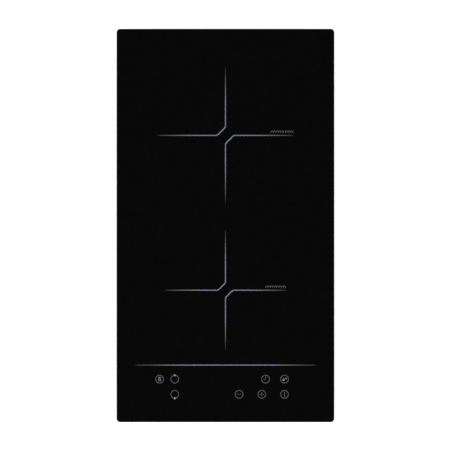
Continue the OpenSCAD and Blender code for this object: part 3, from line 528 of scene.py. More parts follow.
class Finish:
    """A material whose colour, roughness and bump come from textures laid out in the piece's own space."""

    def __init__(self, name, colour=(0.5, 0.5, 0.5), edge_mm=0.0, **sockets):
        self.material = bpy.data.materials.new(name)
        self.material.use_nodes = True
        self.tree = self.material.node_tree
        self.shader = self.tree.nodes["Principled BSDF"]
        self.base = (*colour, 1.0)
        self.shader.inputs["Base Color"].default_value = self.base
        self.normal = None
        for socket, value in sockets.items():
            self.shader.inputs[socket.replace("_", " ")].default_value = value
        if edge_mm:
            edge = self.node("Bevel", samples=6)
            edge.inputs["Radius"].default_value = edge_mm * MM
            self.normal = edge.outputs["Normal"]

    def node(self, kind, **settings):
        made = self.tree.nodes.new("ShaderNode" + kind)
        for key, value in settings.items():
            setattr(made, key, value)
        return made

    def feed(self, value, socket):
        if isinstance(value, bpy.types.NodeSocket):
            self.tree.links.new(value, socket)
        else:
            socket.default_value = value

    def space(self, stretch=(1, 1, 1), uv=False):
        """Place on the piece: object space, or the place along a swept line."""
        if uv:
            source = self.node("UVMap", uv_map="Along").outputs["UV"]
        else:
            source = self.node("TexCoord").outputs["Object"]
        mapping = self.node("Mapping")
        self.feed(source, mapping.inputs["Vector"])
        mapping.inputs["Scale"].default_value = stretch
        return mapping.outputs["Vector"]

    def noise(self, size_mm, detail=3.0, rough=0.55, where=None, warp=0.0):
        made = self.node("TexNoise")
        self.feed(where or self.space(), made.inputs["Vector"])
        made.inputs["Scale"].default_value = 1 / (size_mm * MM)
        made.inputs["Detail"].default_value = detail
        made.inputs["Roughness"].default_value = rough
        made.inputs["Distortion"].default_value = warp
        return made.outputs["Fac"]

    def cells(self, size_mm, feature="F1", where=None):
        made = self.node("TexVoronoi", feature=feature)
        self.feed(where or self.space(), made.inputs["Vector"])
        made.inputs["Scale"].default_value = 1 / (size_mm * MM)
        return made

    def diagonals(self, stretch):
        """Slanting bands along a swept line."""
        made = self.node("TexWave", wave_type="BANDS", bands_direction="DIAGONAL")
        self.feed(self.space(stretch, uv=True), made.inputs["Vector"])
        made.inputs["Scale"].default_value = 1.0
        return made.outputs["Fac"]

    def spread(self, fac, low, high, to_low=0.0, to_high=1.0):
        made = self.node("MapRange", clamp=True)
        self.feed(fac, made.inputs["Value"])
        for label, value in (("From Min", low), ("From Max", high), ("To Min", to_low), ("To Max", to_high)):
            made.inputs[label].default_value = value
        return made.outputs["Result"]

    def math(self, operation, a, b=0.0):
        made = self.node("Math", operation=operation)
        self.feed(a, made.inputs[0])
        self.feed(b, made.inputs[1])
        return made.outputs[0]

    def blend(self, fac, a, b):
        made = self.node("Mix", data_type="RGBA")
        self.feed(fac, made.inputs["Factor"])
        for value, socket in ((a, made.inputs[6]), (b, made.inputs[7])):
            self.feed((*value, 1.0) if isinstance(value, tuple) and len(value) == 3 else value, socket)
        return made.outputs[2]

    def ramp(self, fac, stops):
        made = self.node("ValToRGB")
        self.feed(fac, made.inputs["Fac"])
        elements = made.color_ramp.elements
        while len(elements) < len(stops):
            elements.new(0.5)
        for element, (at, colour) in zip(elements, stops):
            element.position = at
            element.color = (*colour, 1.0)
        return made.outputs["Color"]

    def shade(self, fac, share):
        """The base colour, darkened and lightened by a share of itself."""
        dark = tuple(c * (1 - share) for c in self.base[:3])
        light = tuple(min(c * (1 + share), 1.0) for c in self.base[:3])
        return self.blend(fac, dark, light)

    def colour(self, value):
        self.feed(value, self.shader.inputs["Base Color"])
        return self

    def roughness(self, fac, low, high):
        self.feed(self.spread(fac, 0.25, 0.75, low, high), self.shader.inputs["Roughness"])
        return self

    def bump(self, fac, depth_mm, strength=1.0):
        made = self.node("Bump")
        made.inputs["Strength"].default_value = strength
        made.inputs["Distance"].default_value = depth_mm * MM
        self.feed(fac, made.inputs["Height"])
        if self.normal:
            self.feed(self.normal, made.inputs["Normal"])
        self.normal = made.outputs["Normal"]
        self.feed(self.normal, self.shader.inputs["Normal"])
        return self


def centre(low, high):
    """The middle of a box, seen from above."""
    return (low.x + high.x) / 2, (low.y + high.y) / 2, 0


def dimmed(colour, share):
    return tuple(c * share for c in colour)


def ceramic_glass(name, colour):
    """Polished black glass: almost even, with a very faint mottle and a slow wave in its surface."""
    f = Finish(name, colour, IOR=1.52, Specular_IOR_Level=0.5)
    mottle = f.noise(9.0, 4.0)
    f.colour(f.shade(mottle, 0.25))
    f.roughness(f.noise(30.0, 2.0), 0.045, 0.085)
    f.bump(f.noise(45.0, 1.0), 0.004, 0.4)
    return f.material


def fired_ink(name, stops, speckle=0.18):
    """Pearl ink fired into the glass, coloured along its line."""
    f = Finish(name, (0.3, 0.3, 0.3), Metallic=0.12, IOR=1.5)
    along = f.node("SeparateXYZ")
    f.feed(f.space(uv=True), along.inputs[0])
    tone = f.ramp(along.outputs["X"], stops)
    grain = f.spread(f.noise(0.35, 2.0), 0.35, 0.65, 1 - speckle, 1.0)
    f.colour(f.blend(grain, (0.004, 0.004, 0.005), tone))
    f.roughness(f.noise(1.2, 2.0), 0.34, 0.5)
    f.bump(f.noise(0.3, 2.0), 0.01, 0.3)
    return f.material


def spangled_zinc(name, colour, spangle_mm):
    """Hot-dip galvanised sheet: flat zinc crystals, each with its own tone, and light rolling marks."""
    f = Finish(name, colour, edge_mm=0.7, Metallic=0.92)
    warped = f.node("VectorMath", operation="ADD")
    swirl = f.node("TexNoise")
    swirl.inputs["Scale"].default_value = 1 / (spangle_mm * 0.8 * MM)
    f.feed(f.space(), swirl.inputs["Vector"])
    small = f.node("VectorMath", operation="SCALE")
    small.inputs["Scale"].default_value = spangle_mm * 0.35 * MM
    f.feed(swirl.outputs["Color"], small.inputs[0])
    f.feed(f.space(), warped.inputs[0])
    f.feed(small.outputs[0], warped.inputs[1])
    crystals = f.cells(spangle_mm, where=warped.outputs[0])
    value = f.node("SeparateColor")
    f.feed(crystals.outputs["Color"], value.inputs[0])
    tone = f.shade(value.outputs["Red"], 0.13)
    dust = f.spread(f.noise(22.0, 5.0), 0.42, 0.75)
    dusty = f.blend(dust, tone, dimmed(colour, 0.78))
    f.colour(dusty)
    f.roughness(value.outputs["Green"], 0.30, 0.46)
    f.bump(value.outputs["Blue"], 0.012, 0.5)
    f.bump(f.noise(1.4, 3.0, where=f.space((1, 0.06, 1))), 0.006, 0.35)
    return f.material


def plated(name, colour, rough=(0.2, 0.34), mark_mm=0.5):
    """Bright plating with fine turning marks and a slightly uneven tone."""
    f = Finish(name, colour, Metallic=1.0)
    f.colour(f.shade(f.noise(3.5, 3.0), 0.08))
    f.roughness(f.noise(mark_mm, 3.0), *rough)
    f.bump(f.noise(mark_mm * 0.6, 2.0), 0.004, 0.4)
    return f.material


def brushed(name, colour, stretch=(1, 0.03, 1), rough=(0.26, 0.42), streak_mm=0.35, tint=0.1):
    """Sheet or bar metal with straight grain, a few scratches and a soft tone change."""
    f = Finish(name, colour, edge_mm=0.3, Metallic=0.95)
    grain = f.noise(streak_mm, 4.0, where=f.space(stretch))
    blotch = f.noise(28.0, 3.0)
    f.colour(f.shade(f.math("MULTIPLY", f.math("ADD", grain, blotch), 0.5), tint * 2))
    f.roughness(grain, *rough)
    f.bump(grain, 0.006, 0.45)
    return f.material


def moulded(name, colour, rough=(0.38, 0.52), grain_mm=0.6, depth=0.02, tint=0.12):
    """Moulded plastic: spark-eroded grain, flow marks and a few paler rubs."""
    f = Finish(name, colour, edge_mm=0.35, Specular_IOR_Level=0.5)
    flow = f.noise(16.0, 3.0, warp=0.6)
    rub = f.spread(f.noise(5.0, 6.0, rough=0.7), 0.60, 0.78)
    lighter = tuple(min(1.0, c * 1.5 + 0.012) for c in colour)
    f.colour(f.blend(f.math("MULTIPLY", rub, 0.5), f.shade(flow, tint), lighter))
    f.roughness(flow, *rough)
    f.bump(f.noise(grain_mm, 3.0), depth, 0.5)
    return f.material


def cellular_foam(name, colour):
    """Closed-cell foam tape with open pores on its cut faces, each pore darkened inside as painted shade."""
    f = Finish(name, colour, Specular_IOR_Level=0.25)
    pores = f.cells(0.7).outputs["Distance"]
    # painted shade: the middle of each pore is darkened to 45 % of the foam colour
    f.colour(f.blend(f.spread(pores, 0.1, 0.5), dimmed(colour, 0.45), colour))
    f.roughness(f.noise(6.0), 0.8, 0.95)
    f.bump(pores, 0.12, 0.7)
    return f.material


def circuit_board(name, colour):
    """Solder mask over square-cut copper areas and fine tracks, with tinned vias and a faint weave."""
    f = Finish(name, colour, Coat_Weight=0.35, Coat_Roughness=0.12)
    flat = f.space((1, 1, 0))

    def gaps(size_mm, width):
        """Thin lines between square-cut areas."""
        near, far = (f.cells(size_mm, feature, flat) for feature in ("F1", "F2"))
        near.distance = far.distance = "CHEBYCHEV"
        between = f.math("SUBTRACT", far.outputs["Distance"], near.outputs["Distance"])
        return f.spread(between, width, width * 1.6)

    tracks = f.math("MINIMUM", gaps(24.0, 0.03), gaps(6.5, 0.10))
    plain = f.spread(f.noise(30.0, 1.0, where=flat), 0.50, 0.54)
    copper = f.math("MAXIMUM", tracks, f.math("MULTIPLY", plain, gaps(24.0, 0.03)))
    dark = dimmed(colour, 0.62)
    bright = tuple(min(1.0, c * 1.7 + 0.006) for c in colour)
    masked = f.blend(copper, dark, f.blend(f.noise(14.0, 2.0), colour, bright))
    vias = f.spread(f.cells(6.5, where=flat).outputs["Distance"], 0.085, 0.065)
    f.colour(f.blend(vias, masked, (0.62, 0.60, 0.55)))
    f.feed(f.spread(vias, 0.0, 1.0, 0.0, 0.85), f.shader.inputs["Metallic"])
    f.roughness(f.noise(8.0), 0.28, 0.42)
    f.bump(copper, 0.035, 0.6)
    f.bump(f.noise(0.6, 2.0), 0.01, 0.25)
    return f.material


def litz_wire(name, colour):
    """Twisted strands of enamelled copper: diagonal bands round the wire, with painted shade darkening the gaps
    between strands.
    """
    f = Finish(name, colour, Metallic=0.85)
    strands = f.diagonals((0.22, 2.4, 1))
    dark = dimmed(colour, 0.22)
    # painted shade: the gaps between the strands are darkened to 22 % of the copper tone, on top of the bump
    f.colour(f.blend(f.spread(strands, 0.05, 0.6), dark, f.shade(f.noise(4.0), 0.2)))
    f.roughness(f.noise(1.0), 0.28, 0.42)
    f.bump(strands, 0.18, 0.9)
    return f.material


def fibre_mat(name, colour):
    """Pressed mineral fibre: long pale fibres lying every way."""
    f = Finish(name, colour, Sheen_Weight=0.3, Specular_IOR_Level=0.2)
    fibres = f.noise(1.1, 6.0, rough=0.75, warp=3.5)
    f.colour(f.shade(fibres, 0.3))
    f.roughness(fibres, 0.82, 0.96)
    f.bump(fibres, 0.15, 0.6)
    return f.material


def braided_sleeve(name, colour):
    """A braided and varnished glass-fibre sleeve, with painted shade in the gaps of the weave."""
    f = Finish(name, colour, Coat_Weight=0.3, Coat_Roughness=0.25)
    braid = f.math("MAXIMUM", f.diagonals((1.1, 3.0, 1)), f.diagonals((-1.1, 3.0, 1)))
    # painted shade: where neither set of bands rises, the gaps of the weave are darkened to 35 % of the sleeve
    # colour
    f.colour(f.blend(braid, dimmed(colour, 0.35), colour))
    f.roughness(f.noise(1.5), 0.4, 0.6)
    f.bump(braid, 0.12, 0.8)
    return f.material


def sintered(name, colour, grain_mm=0.8, rough=(0.55, 0.75)):
    """Pressed and fired ceramic, with pits and dusty patches."""
    f = Finish(name, colour)
    f.colour(f.shade(f.noise(grain_mm * 3, 5.0, rough=0.7), 0.22))
    f.roughness(f.noise(grain_mm * 2), *rough)
    pits = f.spread(f.cells(grain_mm * 2).outputs["Distance"], 0.0, 0.25)
    f.bump(pits, 0.05, 0.5)
    f.bump(f.noise(grain_mm, 3.0), 0.03, 0.4)
    return f.material


def blank_foil(name):
    """A blank foil label: fine brushed foil with nothing printed on it."""
    return brushed(name, (0.70, 0.71, 0.72), stretch=(0.04, 1, 1), rough=(0.22, 0.34), streak_mm=0.2, tint=0.05)


_made = {}


def finish_for(slot):
    """The material of one of the record's slots, made once."""
    if slot not in _made:
        _made[slot] = make_finish(slot)
    return _made[slot]


def make_finish(slot):
    """Makes the finish of a slot from the colours in the panel."""
    metal = bpy.context.scene.cooktop_metal
    plastic = bpy.context.scene.cooktop_plastic
    black, cream, grain = tuple(plastic.black), tuple(plastic.cream), plastic.grain / MM
    steel, aluminium = tuple(metal.steel), tuple(metal.aluminium)
    makers = {
        "black_glass": lambda: ceramic_glass(slot, tuple(plastic.glass)),
        "bond": lambda: moulded(slot, (0.03, 0.03, 0.033), (0.5, 0.7), 1.5, 0.05),
        "foam_seal": lambda: cellular_foam(slot, (0.055, 0.055, 0.058)),
        "galvanised": lambda: spangled_zinc(slot, tuple(metal.zinc), metal.spangle / MM),
        "zinc_screw": lambda: plated(slot, (0.70, 0.71, 0.72)),
        "clamp_steel": lambda: brushed(slot, steel),
        "black_plastic": lambda: moulded(slot, black, grain_mm=grain),
        "terminal_cream": lambda: moulded(slot, cream, grain_mm=grain, tint=0.06),
        "brass": lambda: plated(slot, tuple(metal.brass), (0.24, 0.4)),
        "deck_aluminium": lambda: brushed(slot, aluminium, (0.02, 1, 1), (0.3, 0.44)),
        "pillar_steel": lambda: plated(slot, steel, (0.25, 0.4), mark_mm=0.9),
        "litz_copper": lambda: litz_wire(slot, tuple(metal.copper)),
        "ferrite": lambda: sintered(slot, (0.060, 0.062, 0.066)),
        "mica_mat": lambda: fibre_mat(slot, (0.62, 0.57, 0.46)),
        "sensor_ceramic": lambda: sintered(slot, (0.80, 0.77, 0.70), 0.5, (0.45, 0.65)),
        "spring_steel": lambda: plated(slot, (0.60, 0.60, 0.61), (0.22, 0.36)),
        "coil_sleeve": lambda: braided_sleeve(slot, (0.34, 0.11, 0.055)),
        "white_wire": lambda: moulded(slot, (0.78, 0.78, 0.75), (0.3, 0.42), 1.0, 0.01, 0.05),
        "green_board": lambda: circuit_board(slot, tuple(plastic.board)),
        "nylon_white": lambda: moulded(slot, (0.78, 0.77, 0.71), grain_mm=grain, tint=0.05),
        "heat_sink_alu": lambda: brushed(slot, dimmed(aluminium, 0.9), (1, 0.02, 1)),
        "epoxy_black": lambda: moulded(slot, (0.018, 0.018, 0.02), (0.45, 0.62), 0.35, 0.02),
        "capacitor_red": lambda: moulded(slot, (0.42, 0.045, 0.03), (0.22, 0.36), 2.5, 0.06, 0.1),
        "capacitor_blue": lambda: moulded(slot, (0.022, 0.035, 0.11), (0.2, 0.32), 1.2, 0.01, 0.08),
        "relay_blue": lambda: moulded(slot, (0.015, 0.085, 0.27), (0.22, 0.34), 1.2, 0.01, 0.08),
        "transformer_tape": lambda: moulded(slot, (0.66, 0.46, 0.05), (0.24, 0.36), 3.0, 0.04, 0.08),
        "connector_white": lambda: moulded(slot, (0.80, 0.79, 0.73), (0.3, 0.44), 0.8, 0.01, 0.05),
        "motor_metal": lambda: brushed(slot, (0.36, 0.37, 0.38), (1, 1, 0.03)),
        "impeller_black": lambda: moulded(slot, (0.03, 0.03, 0.033), (0.34, 0.46), 0.5, 0.015),
        "display_smoke": lambda: moulded(slot, (0.010, 0.009, 0.010), (0.12, 0.2), 2.0, 0.004, 0.1),
        "ribbon_grey": lambda: moulded(slot, (0.46, 0.46, 0.44), (0.34, 0.46), 1.0, 0.01, 0.05),
        "mains_wire": lambda: moulded(slot, (0.06, 0.16, 0.46), (0.3, 0.42), 1.0, 0.01, 0.05),
    }
    return makers[slot]()


def key_ink(name, share=1.0):
    """The ink of the rings and symbols, at a share of its usual tone."""
    tone = dimmed(bpy.context.scene.cooktop_print.key_grey, share)
    return fired_ink(name, [(0.0, tone), (1.0, dimmed(tone, 1.05))])


def dress(*nodes):
    """Gives frame nodes the material of their slot and shades them by angle."""
    for name in nodes:
        mesh = frame["nodes"][name].data
        mesh.materials.clear()
        mesh.materials.append(finish_for(SLOT_OF[name]))
        for polygon in mesh.polygons:
            polygon.use_smooth = True
            polygon.material_index = 0
        mesh.set_sharp_from_angle(angle=math.radians(30))


# ------------------------------------------------------------------ operators: glass and print


class COOKTOP_OT_glass(bpy.types.Operator):
    """Polish the ceramic glass and dress the bond and frame under it"""

    bl_idname = "cooktop.glass"
    bl_label = "Glass"

    def execute(self, context):
        dress("glass_top", "glass_bond", "glass_frame")
        return {"FINISHED"}


INK_SINK = 0.01    # millimetres that the ink reaches into the glass


def ink_heights(ink):
    """Where printed marks start and end in height."""
    return GLASS_TOP - INK_SINK, GLASS_TOP + ink.ink_height / MM


TAPER_SHARE = 0.36    # part of a line over which each end widens


def taper(share):
    """0 at both ends of a line and 1 over its middle."""
    t = min(1.0, min(share, 1 - share) / TAPER_SHARE)
    return t * t * (3 - 2 * t)


def fading_line(grey, pearl, start, end, middle):
    """Colour stops of a line that fades towards both tips; start and end list (place, brightness)."""
    stops = [(at, dimmed(grey, light)) for at, light in start]
    stops += [(start[-1][0] + 0.05, pearl), (0.448, pearl), (0.46, middle), (0.54, middle), (0.552, pearl)]
    stops += [(1 - end[-1][0] - 0.05, pearl)]
    stops += [(1 - at, dimmed(grey, light)) for at, light in reversed(end)]
    return stops


SIDE_FADE = ((0.0, 0.07), (0.04, 0.30), (0.10, 0.52), (0.175, 0.74), (0.24, 0.90))
LENGTH_FADE = ((0.0, 0.04), (0.05, 0.22), (0.085, 0.38), (0.145, 0.58), (0.20, 0.76))


class COOKTOP_OT_zone_marks(bpy.types.Operator):
    """Print the two cornered lines of each cooking zone and the row of coil arches beside them"""

    bl_idname = "cooktop.zone_marks"
    bl_label = "Zone marks"

    def execute(self, context):
        ink = context.scene.cooktop_print
        z = ink_heights(ink)
        violet, grey = tuple(ink.violet), tuple(ink.grey)
        plain = fired_ink("pearl_ink", fading_line(grey, violet, SIDE_FADE, LENGTH_FADE, tuple(ink.pale)))
        # painted sheen: the rear mark's second line takes the teal tone at its chamfer, standing for the pearl
        # ink's colour play under the light
        sheen_ink = fired_ink("pearl_ink_painted_sheen",
                             fading_line(grey, violet, SIDE_FADE, LENGTH_FADE, tuple(ink.teal_sheen)))
        arches = key_ink("arch_ink", 1.25)
        wide, narrow = ink.line_width / MM / 2, ink.tip_width / MM / 2
        for name, zone, node in (("rear", REAR_ZONE, "rear_winding"), ("front", FRONT_ZONE, "front_winding")):
            low, high = box_mm(node)
            reach = round((high.x - low.x) / 2 + 5.0)
            corner = reach * ink.corner_share
            lines = Shape()
            upper = [(-reach, 0), (-corner, 0), (0, corner), (0, reach)]
            for tint, points in ((0, upper), (1, [(-x, -y) for x, y in upper])):
                path = evenly(filleted(points, 2.2), 0.8)
                path = [(p.x + zone.x, p.y + zone.y) for p in path]
                lines.stroke(path, lambda u: narrow + (wide - narrow) * taper(u), z, tint=tint)
            piece(name + "_zone_mark", lines, [plain, sheen_ink if name == "rear" else plain])
            self.coil_arches(name, zone, reach, z, arches)
        return {"FINISHED"}

    def coil_arches(self, name, zone, reach, z, finish):
        """A small row of arches, as a picture of a winding, above the right end of the mark."""
        row = Shape()
        count = 9
        start, end = reach * 0.665, reach * 0.994
        height, foot = reach * 0.034, 2.9
        pitch = (end - start) / count
        path = []
        for k in range(count):
            middle = zone.x + start + pitch * (k + 0.5)
            hump = arc((0, 0), 1.0, 180, 0, 12)[:-1 if k < count - 1 else None]
            path += [(middle + x * pitch / 2, zone.y + foot + y * height) for x, y in hump]
        row.stroke(path, 0.28, z)
        piece(name + "_zone_pictogram", row, finish)


def ring(shape, at, radius, half_width, z, steps=64):
    path = [(at[0] + x, at[1] + y) for x, y in arc((0, 0), radius, 0, 360, steps)[:-1]]
    shape.stroke(path, half_width, z, closed=True)


def disc(shape, at, radius, z):
    outline = [(at[0] + x, at[1] + y) for x, y in arc((0, 0), radius, 0, 360, 32)[:-1]]
    shape.prism(outline, z)


def bar(shape, at, start, end, half_width, z):
    """A straight stroke with round ends, its ends given from the key's centre."""
    a, b = Vector(start), Vector(end)
    along = math.degrees(math.atan2(b.y - a.y, b.x - a.x))
    outline = arc(b, half_width, along - 90, along + 90, 10) + arc(a, half_width, along + 90, along + 270, 10)
    shape.prism([(at[0] + x, at[1] + y) for x, y in outline], z)


class COOKTOP_OT_key_symbols(bpy.types.Operator):
    """Print the control line, the ring round each touch key and its symbol"""

    bl_idname = "cooktop.key_symbols"
    bl_label = "Key symbols"

    def execute(self, context):
        ink = context.scene.cooktop_print
        z = ink_heights(ink)
        plain, dim, bright = key_ink("key_ink"), key_ink("key_dim_ink", 0.5), key_ink("key_bright_ink", 2.9)
        dots = fired_ink("selector_dot_ink", [(0.0, tuple(ink.bright)), (1.0, tuple(ink.bright))], 0.1)
        bluish = fired_ink("boost_ink", [(0.0, tuple(ink.boost)), (1.0, tuple(ink.boost))])
        for name, at in KEYS.items():
            symbol = Shape()
            ring(symbol, at, ink.ring_radius / MM, ink.ring_width / MM / 2, z)
            finishes = [plain]
            body = Shape()
            if name == "boost":
                finishes.append(bluish)
                for y in (-2.6, -0.6, 1.4):
                    chevron = [(-1.9, y - 0.55), (0, y + 0.75), (1.9, y - 0.55), (1.9, y + 0.55), (0, y + 1.85),
                               (-1.9, y + 0.55)]
                    body.prism([(at[0] + p[0], at[1] + p[1]) for p in chevron], z, tint=1)
            elif name in ("rear_zone", "front_zone"):
                side = 1 if name == "rear_zone" else -1
                dot = Shape()
                disc(dot, (at[0], at[1] + side * 5.2), 1.35, (z[0], z[1] + 0.01))
                piece("key_" + name + "_dot", dot, dots)
            elif name == "timer":
                bar(body, at, (0, 0), (0.3, 3.0), 0.42, z)
                bar(body, at, (0, 0), (-2.1, -0.9), 0.42, z)
            elif name == "lock":
                finishes.append(bright)
                ring(body, (at[0] - 1.25, at[1] - 0.85), 1.0, 0.42, z, 28)
                bar(body, at, (-0.5, -0.3), (2.5, 1.7), 0.42, z)
                bar(body, at, (1.5, 1.0), (2.0, 0.2), 0.36, z)
                bar(body, at, (2.3, 1.55), (2.8, 0.8), 0.36, z)
                body.tints = [1] * len(body.tints)
            elif name == "minus":
                finishes.append(dim)
                bar(body, at, (-2.9, 0), (2.9, 0), 0.42, z)
                body.tints = [1] * len(body.tints)
            elif name == "plus":
                bar(body, at, (-2.3, 0), (2.3, 0), 0.42, z)
                bar(body, at, (0, -2.3), (0, 2.3), 0.42, z)
            elif name == "power":
                bar(body, at, (0, -2.9), (0, 2.9), 0.48, z)
            symbol.merge(body)
            piece("key_" + name, symbol, finishes)
        self.control_line(ink, z)
        return {"FINISHED"}

    def control_line(self, ink, z):
        """The long line between the zones and the touch keys."""
        y, reach = box_mm("control_board")[1].y + 6.6, 120.0
        line = Shape()
        path = [(-reach + 2 * reach * i / 240, y) for i in range(241)]
        wide, narrow = ink.line_width / MM / 2, ink.tip_width / MM / 2
        line.stroke(path, lambda u: narrow + (wide - narrow) * taper(u), z)
        fade = ((0.0, 0.06), (0.03, 0.29), (0.085, 0.41), (0.14, 0.66), (0.18, 0.84))
        stops = fading_line(tuple(ink.grey), tuple(ink.violet), fade, fade, tuple(ink.violet))
        piece("control_line", line, fired_ink("control_line_ink", stops))


# ------------------------------------------------------------------ operators: casing


class COOKTOP_OT_seal(bpy.types.Operator):
    """Lay the foam strip under the rim, with its butt joint at the back"""

    bl_idname = "cooktop.seal"
    bl_label = "Worktop seal"

    def execute(self, context):
        low, high = box_mm("worktop_seal")
        strip_w, joint_gap, corner = 8.0, 0.3, 4.0
        outer = rounded_rectangle(low, high, corner, steps=8)
        section = [(0.0, high.z), (0.0, low.z + 0.5), (0.15, low.z + 0.15), (0.5, low.z),
                   (strip_w - 0.5, low.z), (strip_w - 0.15, low.z + 0.15), (strip_w, low.z + 0.5),
                   (strip_w, high.z)]
        offsets = [inset(outer, offset) for offset, _ in section]
        ahead = [i for i, point in enumerate(outer) if point[1] > high.y - 1e-6]
        right, left = max(ahead, key=lambda i: outer[i][0]), min(ahead, key=lambda i: outer[i][0])
        order = [(left + k) % len(outer) for k in range(len(outer))]
        order = order[:order.index(right) + 1]
        rings = []
        for side, anchor in ((-1, left), (1, right)):
            ring = [(side * joint_gap / 2, line[anchor][1], z) for line, (_, z) in zip(offsets, section)]
            rings.append(ring)
        middle = [[(line[i][0], line[i][1], z) for line, (_, z) in zip(offsets, section)] for i in order]
        shape = Shape()
        shape.rings([rings[0], *middle, rings[1]])
        piece("foam_seal_strip", shape, "foam_seal", stands_for="worktop_seal")
        dress("worktop_seal")
        return {"FINISHED"}


def cross_screw(shape, at, direction, head_r, head_h, shank_r, length, pitch=0.6):
    """A pan-head screw with a cross recess and a thread; its head stands on the given place."""
    turn = facing(direction)
    wide, narrow = cross(head_r * 0.55, head_r * 0.13), cross(head_r * 0.3, head_r * 0.08)
    head = [(head_r * 0.93, 0.0), (head_r, head_h * 0.12), (head_r, head_h * 0.45),
            (head_r * 0.93, head_h * 0.72), (head_r * 0.8, head_h * 0.9), (head_r * 0.66, head_h),
            (wide, head_h), (narrow, head_h * 0.42)]
    turns = int(length / pitch)
    shank = [(shank_r * 0.55, -length)]
    for k in range(turns):
        z = -length + (k + 0.5) * pitch
        shank += [(shank_r * 0.82, z - pitch * 0.25), (shank_r, z + pitch * 0.15)]
    shank += [(shank_r * 0.82, -0.05)]
    shape.stack(shank + head, at, turn)


class COOKTOP_OT_screws(bpy.types.Operator):
    """Turn every cross-recess screw of the frame, the clamps and the inside"""

    bl_idname = "cooktop.screws"
    bl_label = "Screws"

    def execute(self, context):
        high = box_mm("base_tray")[1]
        frame_set = Shape()
        for a, b in islands("frame_screws"):
            middle = (a + b) / 2
            along = 0 if abs(middle.x) > high.x - 10 else 1
            sign = 1 if middle[along] > 0 else -1
            direction, at = Vector(), middle.copy()
            direction[along] = sign
            at[along] = sign * high[along]
            cross_screw(frame_set, at, direction, 3.5, 1.7, 1.7, 5.0, 0.7)
        piece("frame_screw_set", frame_set, "zinc_screw", stands_for="frame_screws")
        clamp_set = Shape()
        for a, b in islands("clamp_screws"):
            middle = (a + b) / 2
            cross_screw(clamp_set, (middle.x, middle.y, a.z + 2.8), (0, 0, -1), 5.0, 2.8, 2.5, 8.0, 0.8)
        piece("clamp_screw_set", clamp_set, "zinc_screw", stands_for="clamp_screws")
        inner = Shape()
        head_r, head_h, shank_r = 3.1, 2.1, 1.45
        for a, b in islands("chassis_screws"):
            middle, size = (a + b) / 2, b - a
            if size.x > size.z:
                at, direction, length = (b.x - head_h, middle.y, middle.z), (1, 0, 0), size.x - head_h
            else:
                at, direction, length = (middle.x, middle.y, b.z - head_h), (0, 0, 1), size.z - head_h
            cross_screw(inner, at, direction, head_r, head_h, shank_r, length)
        piece("chassis_screw_set", inner, "zinc_screw", stands_for="chassis_screws")
        dress("frame_screws", "clamp_screws", "chassis_screws", "terminal_screws")
        return {"FINISHED"}


def open_inset(line, amount):
    """Moves an open outline to its left by an amount, its two ends straight sideways."""
    points = [Vector(p) for p in line]
    result = []
    for i, p in enumerate(points):
        a = (p - points[i - 1]).normalized() if i else None
        b = (points[i + 1] - p).normalized() if i < len(points) - 1 else None
        a, b = a or b, b or a
        middle = Vector((-a.y - b.y, a.x + b.x))
        q = p + middle / max(middle.length_squared, 0.2) * 2 * amount
        result.append((q.x, q.y))
    return result


class COOKTOP_OT_clamps(bpy.types.Operator):
    """Punch and bend the four worktop clamps"""

    bl_idname = "cooktop.clamps"
    bl_label = "Worktop clamps"

    def execute(self, context):
        for side in ("rear_right", "rear_left", "front_right", "front_left"):
            node = "clamp_" + side
            low, high = box_mm(node)
            self.clamp(node, low, high, 1 if side.startswith("rear") else -1)
        return {"FINISHED"}

    def clamp(self, node, low, high, ahead):
        """A flat plate round its pivot, then a rounded bend down into the claw."""
        half_w, sheet, bend_r, edge = (high.x - low.x) / 2, 2.0, 2.6, 0.25
        reach = high.y - low.y - half_w
        pivot = Vector(((low.x + high.x) / 2, low.y + half_w if ahead > 0 else high.y - half_w, 0))
        turn = Matrix.Translation(pivot) @ Matrix.Rotation(0 if ahead > 0 else math.pi, 4, "Z")
        z_top, z_tip = high.z, low.z
        flat_end = reach - bend_r
        line = [(-half_w, flat_end)] + arc((0, 0), half_w, 180, 360, 24) + [(half_w, flat_end)]
        small = open_inset(line, edge)
        holes = [outline_at(2.58, 32),
                 [(x, y + reach * 0.6) for x, y in
                  arc((0, 2.5), 2.5, 0, 180, 10) + arc((0, -2.5), 2.5, 180, 360, 10)]]
        shape = Shape()
        z_low = z_top - sheet
        levels = [(small, z_low), (line, z_low + edge), (line, z_top - edge), (small, z_top)]
        shape.rings([[turn @ Vector((x, y, z)) for x, y in l] for l, z in levels], closed=False, caps=False)
        for z in (z_low, z_top):
            loops = [[Vector((x, y, z)) for x, y in small]] + [[Vector((x, y, z)) for x, y in h] for h in holes]
            corners = [p for loop in loops for p in loop]
            faces = geometry.tessellate_polygon(loops)
            shape.add([turn @ p for p in corners], faces)
        for hole in holes:
            shape.rings([[turn @ Vector((x, y, z)) for x, y in hole] for z in (z_low, z_top)], caps=False)
        bent = []
        for a in [0, *range(10, 91, 10), None]:
            if a is None:
                y, z, slope = reach, z_tip, 90
            else:
                y = flat_end + bend_r * math.sin(math.radians(a))
                z = z_top - bend_r + bend_r * math.cos(math.radians(a))
                slope = a
            inward = Vector((0, -math.sin(math.radians(slope)), -math.cos(math.radians(slope))))
            top = Vector((0, y, z))
            ring = [(-half_w + edge, sheet), (half_w - edge, sheet), (half_w, sheet - edge), (half_w, edge),
                    (half_w - edge, 0), (-half_w + edge, 0), (-half_w, edge), (-half_w, sheet - edge)]
            bent.append([turn @ (top + inward * depth + Vector((x, 0, 0))) for x, depth in ring])
        shape.rings(bent, caps=False)
        count = len(bent[-1])
        shape.add(bent[-1], [tuple(range(count))])
        piece(node + "_plate", shape, "clamp_steel", body=node, stands_for=node, sharp=28)
        dress(node)


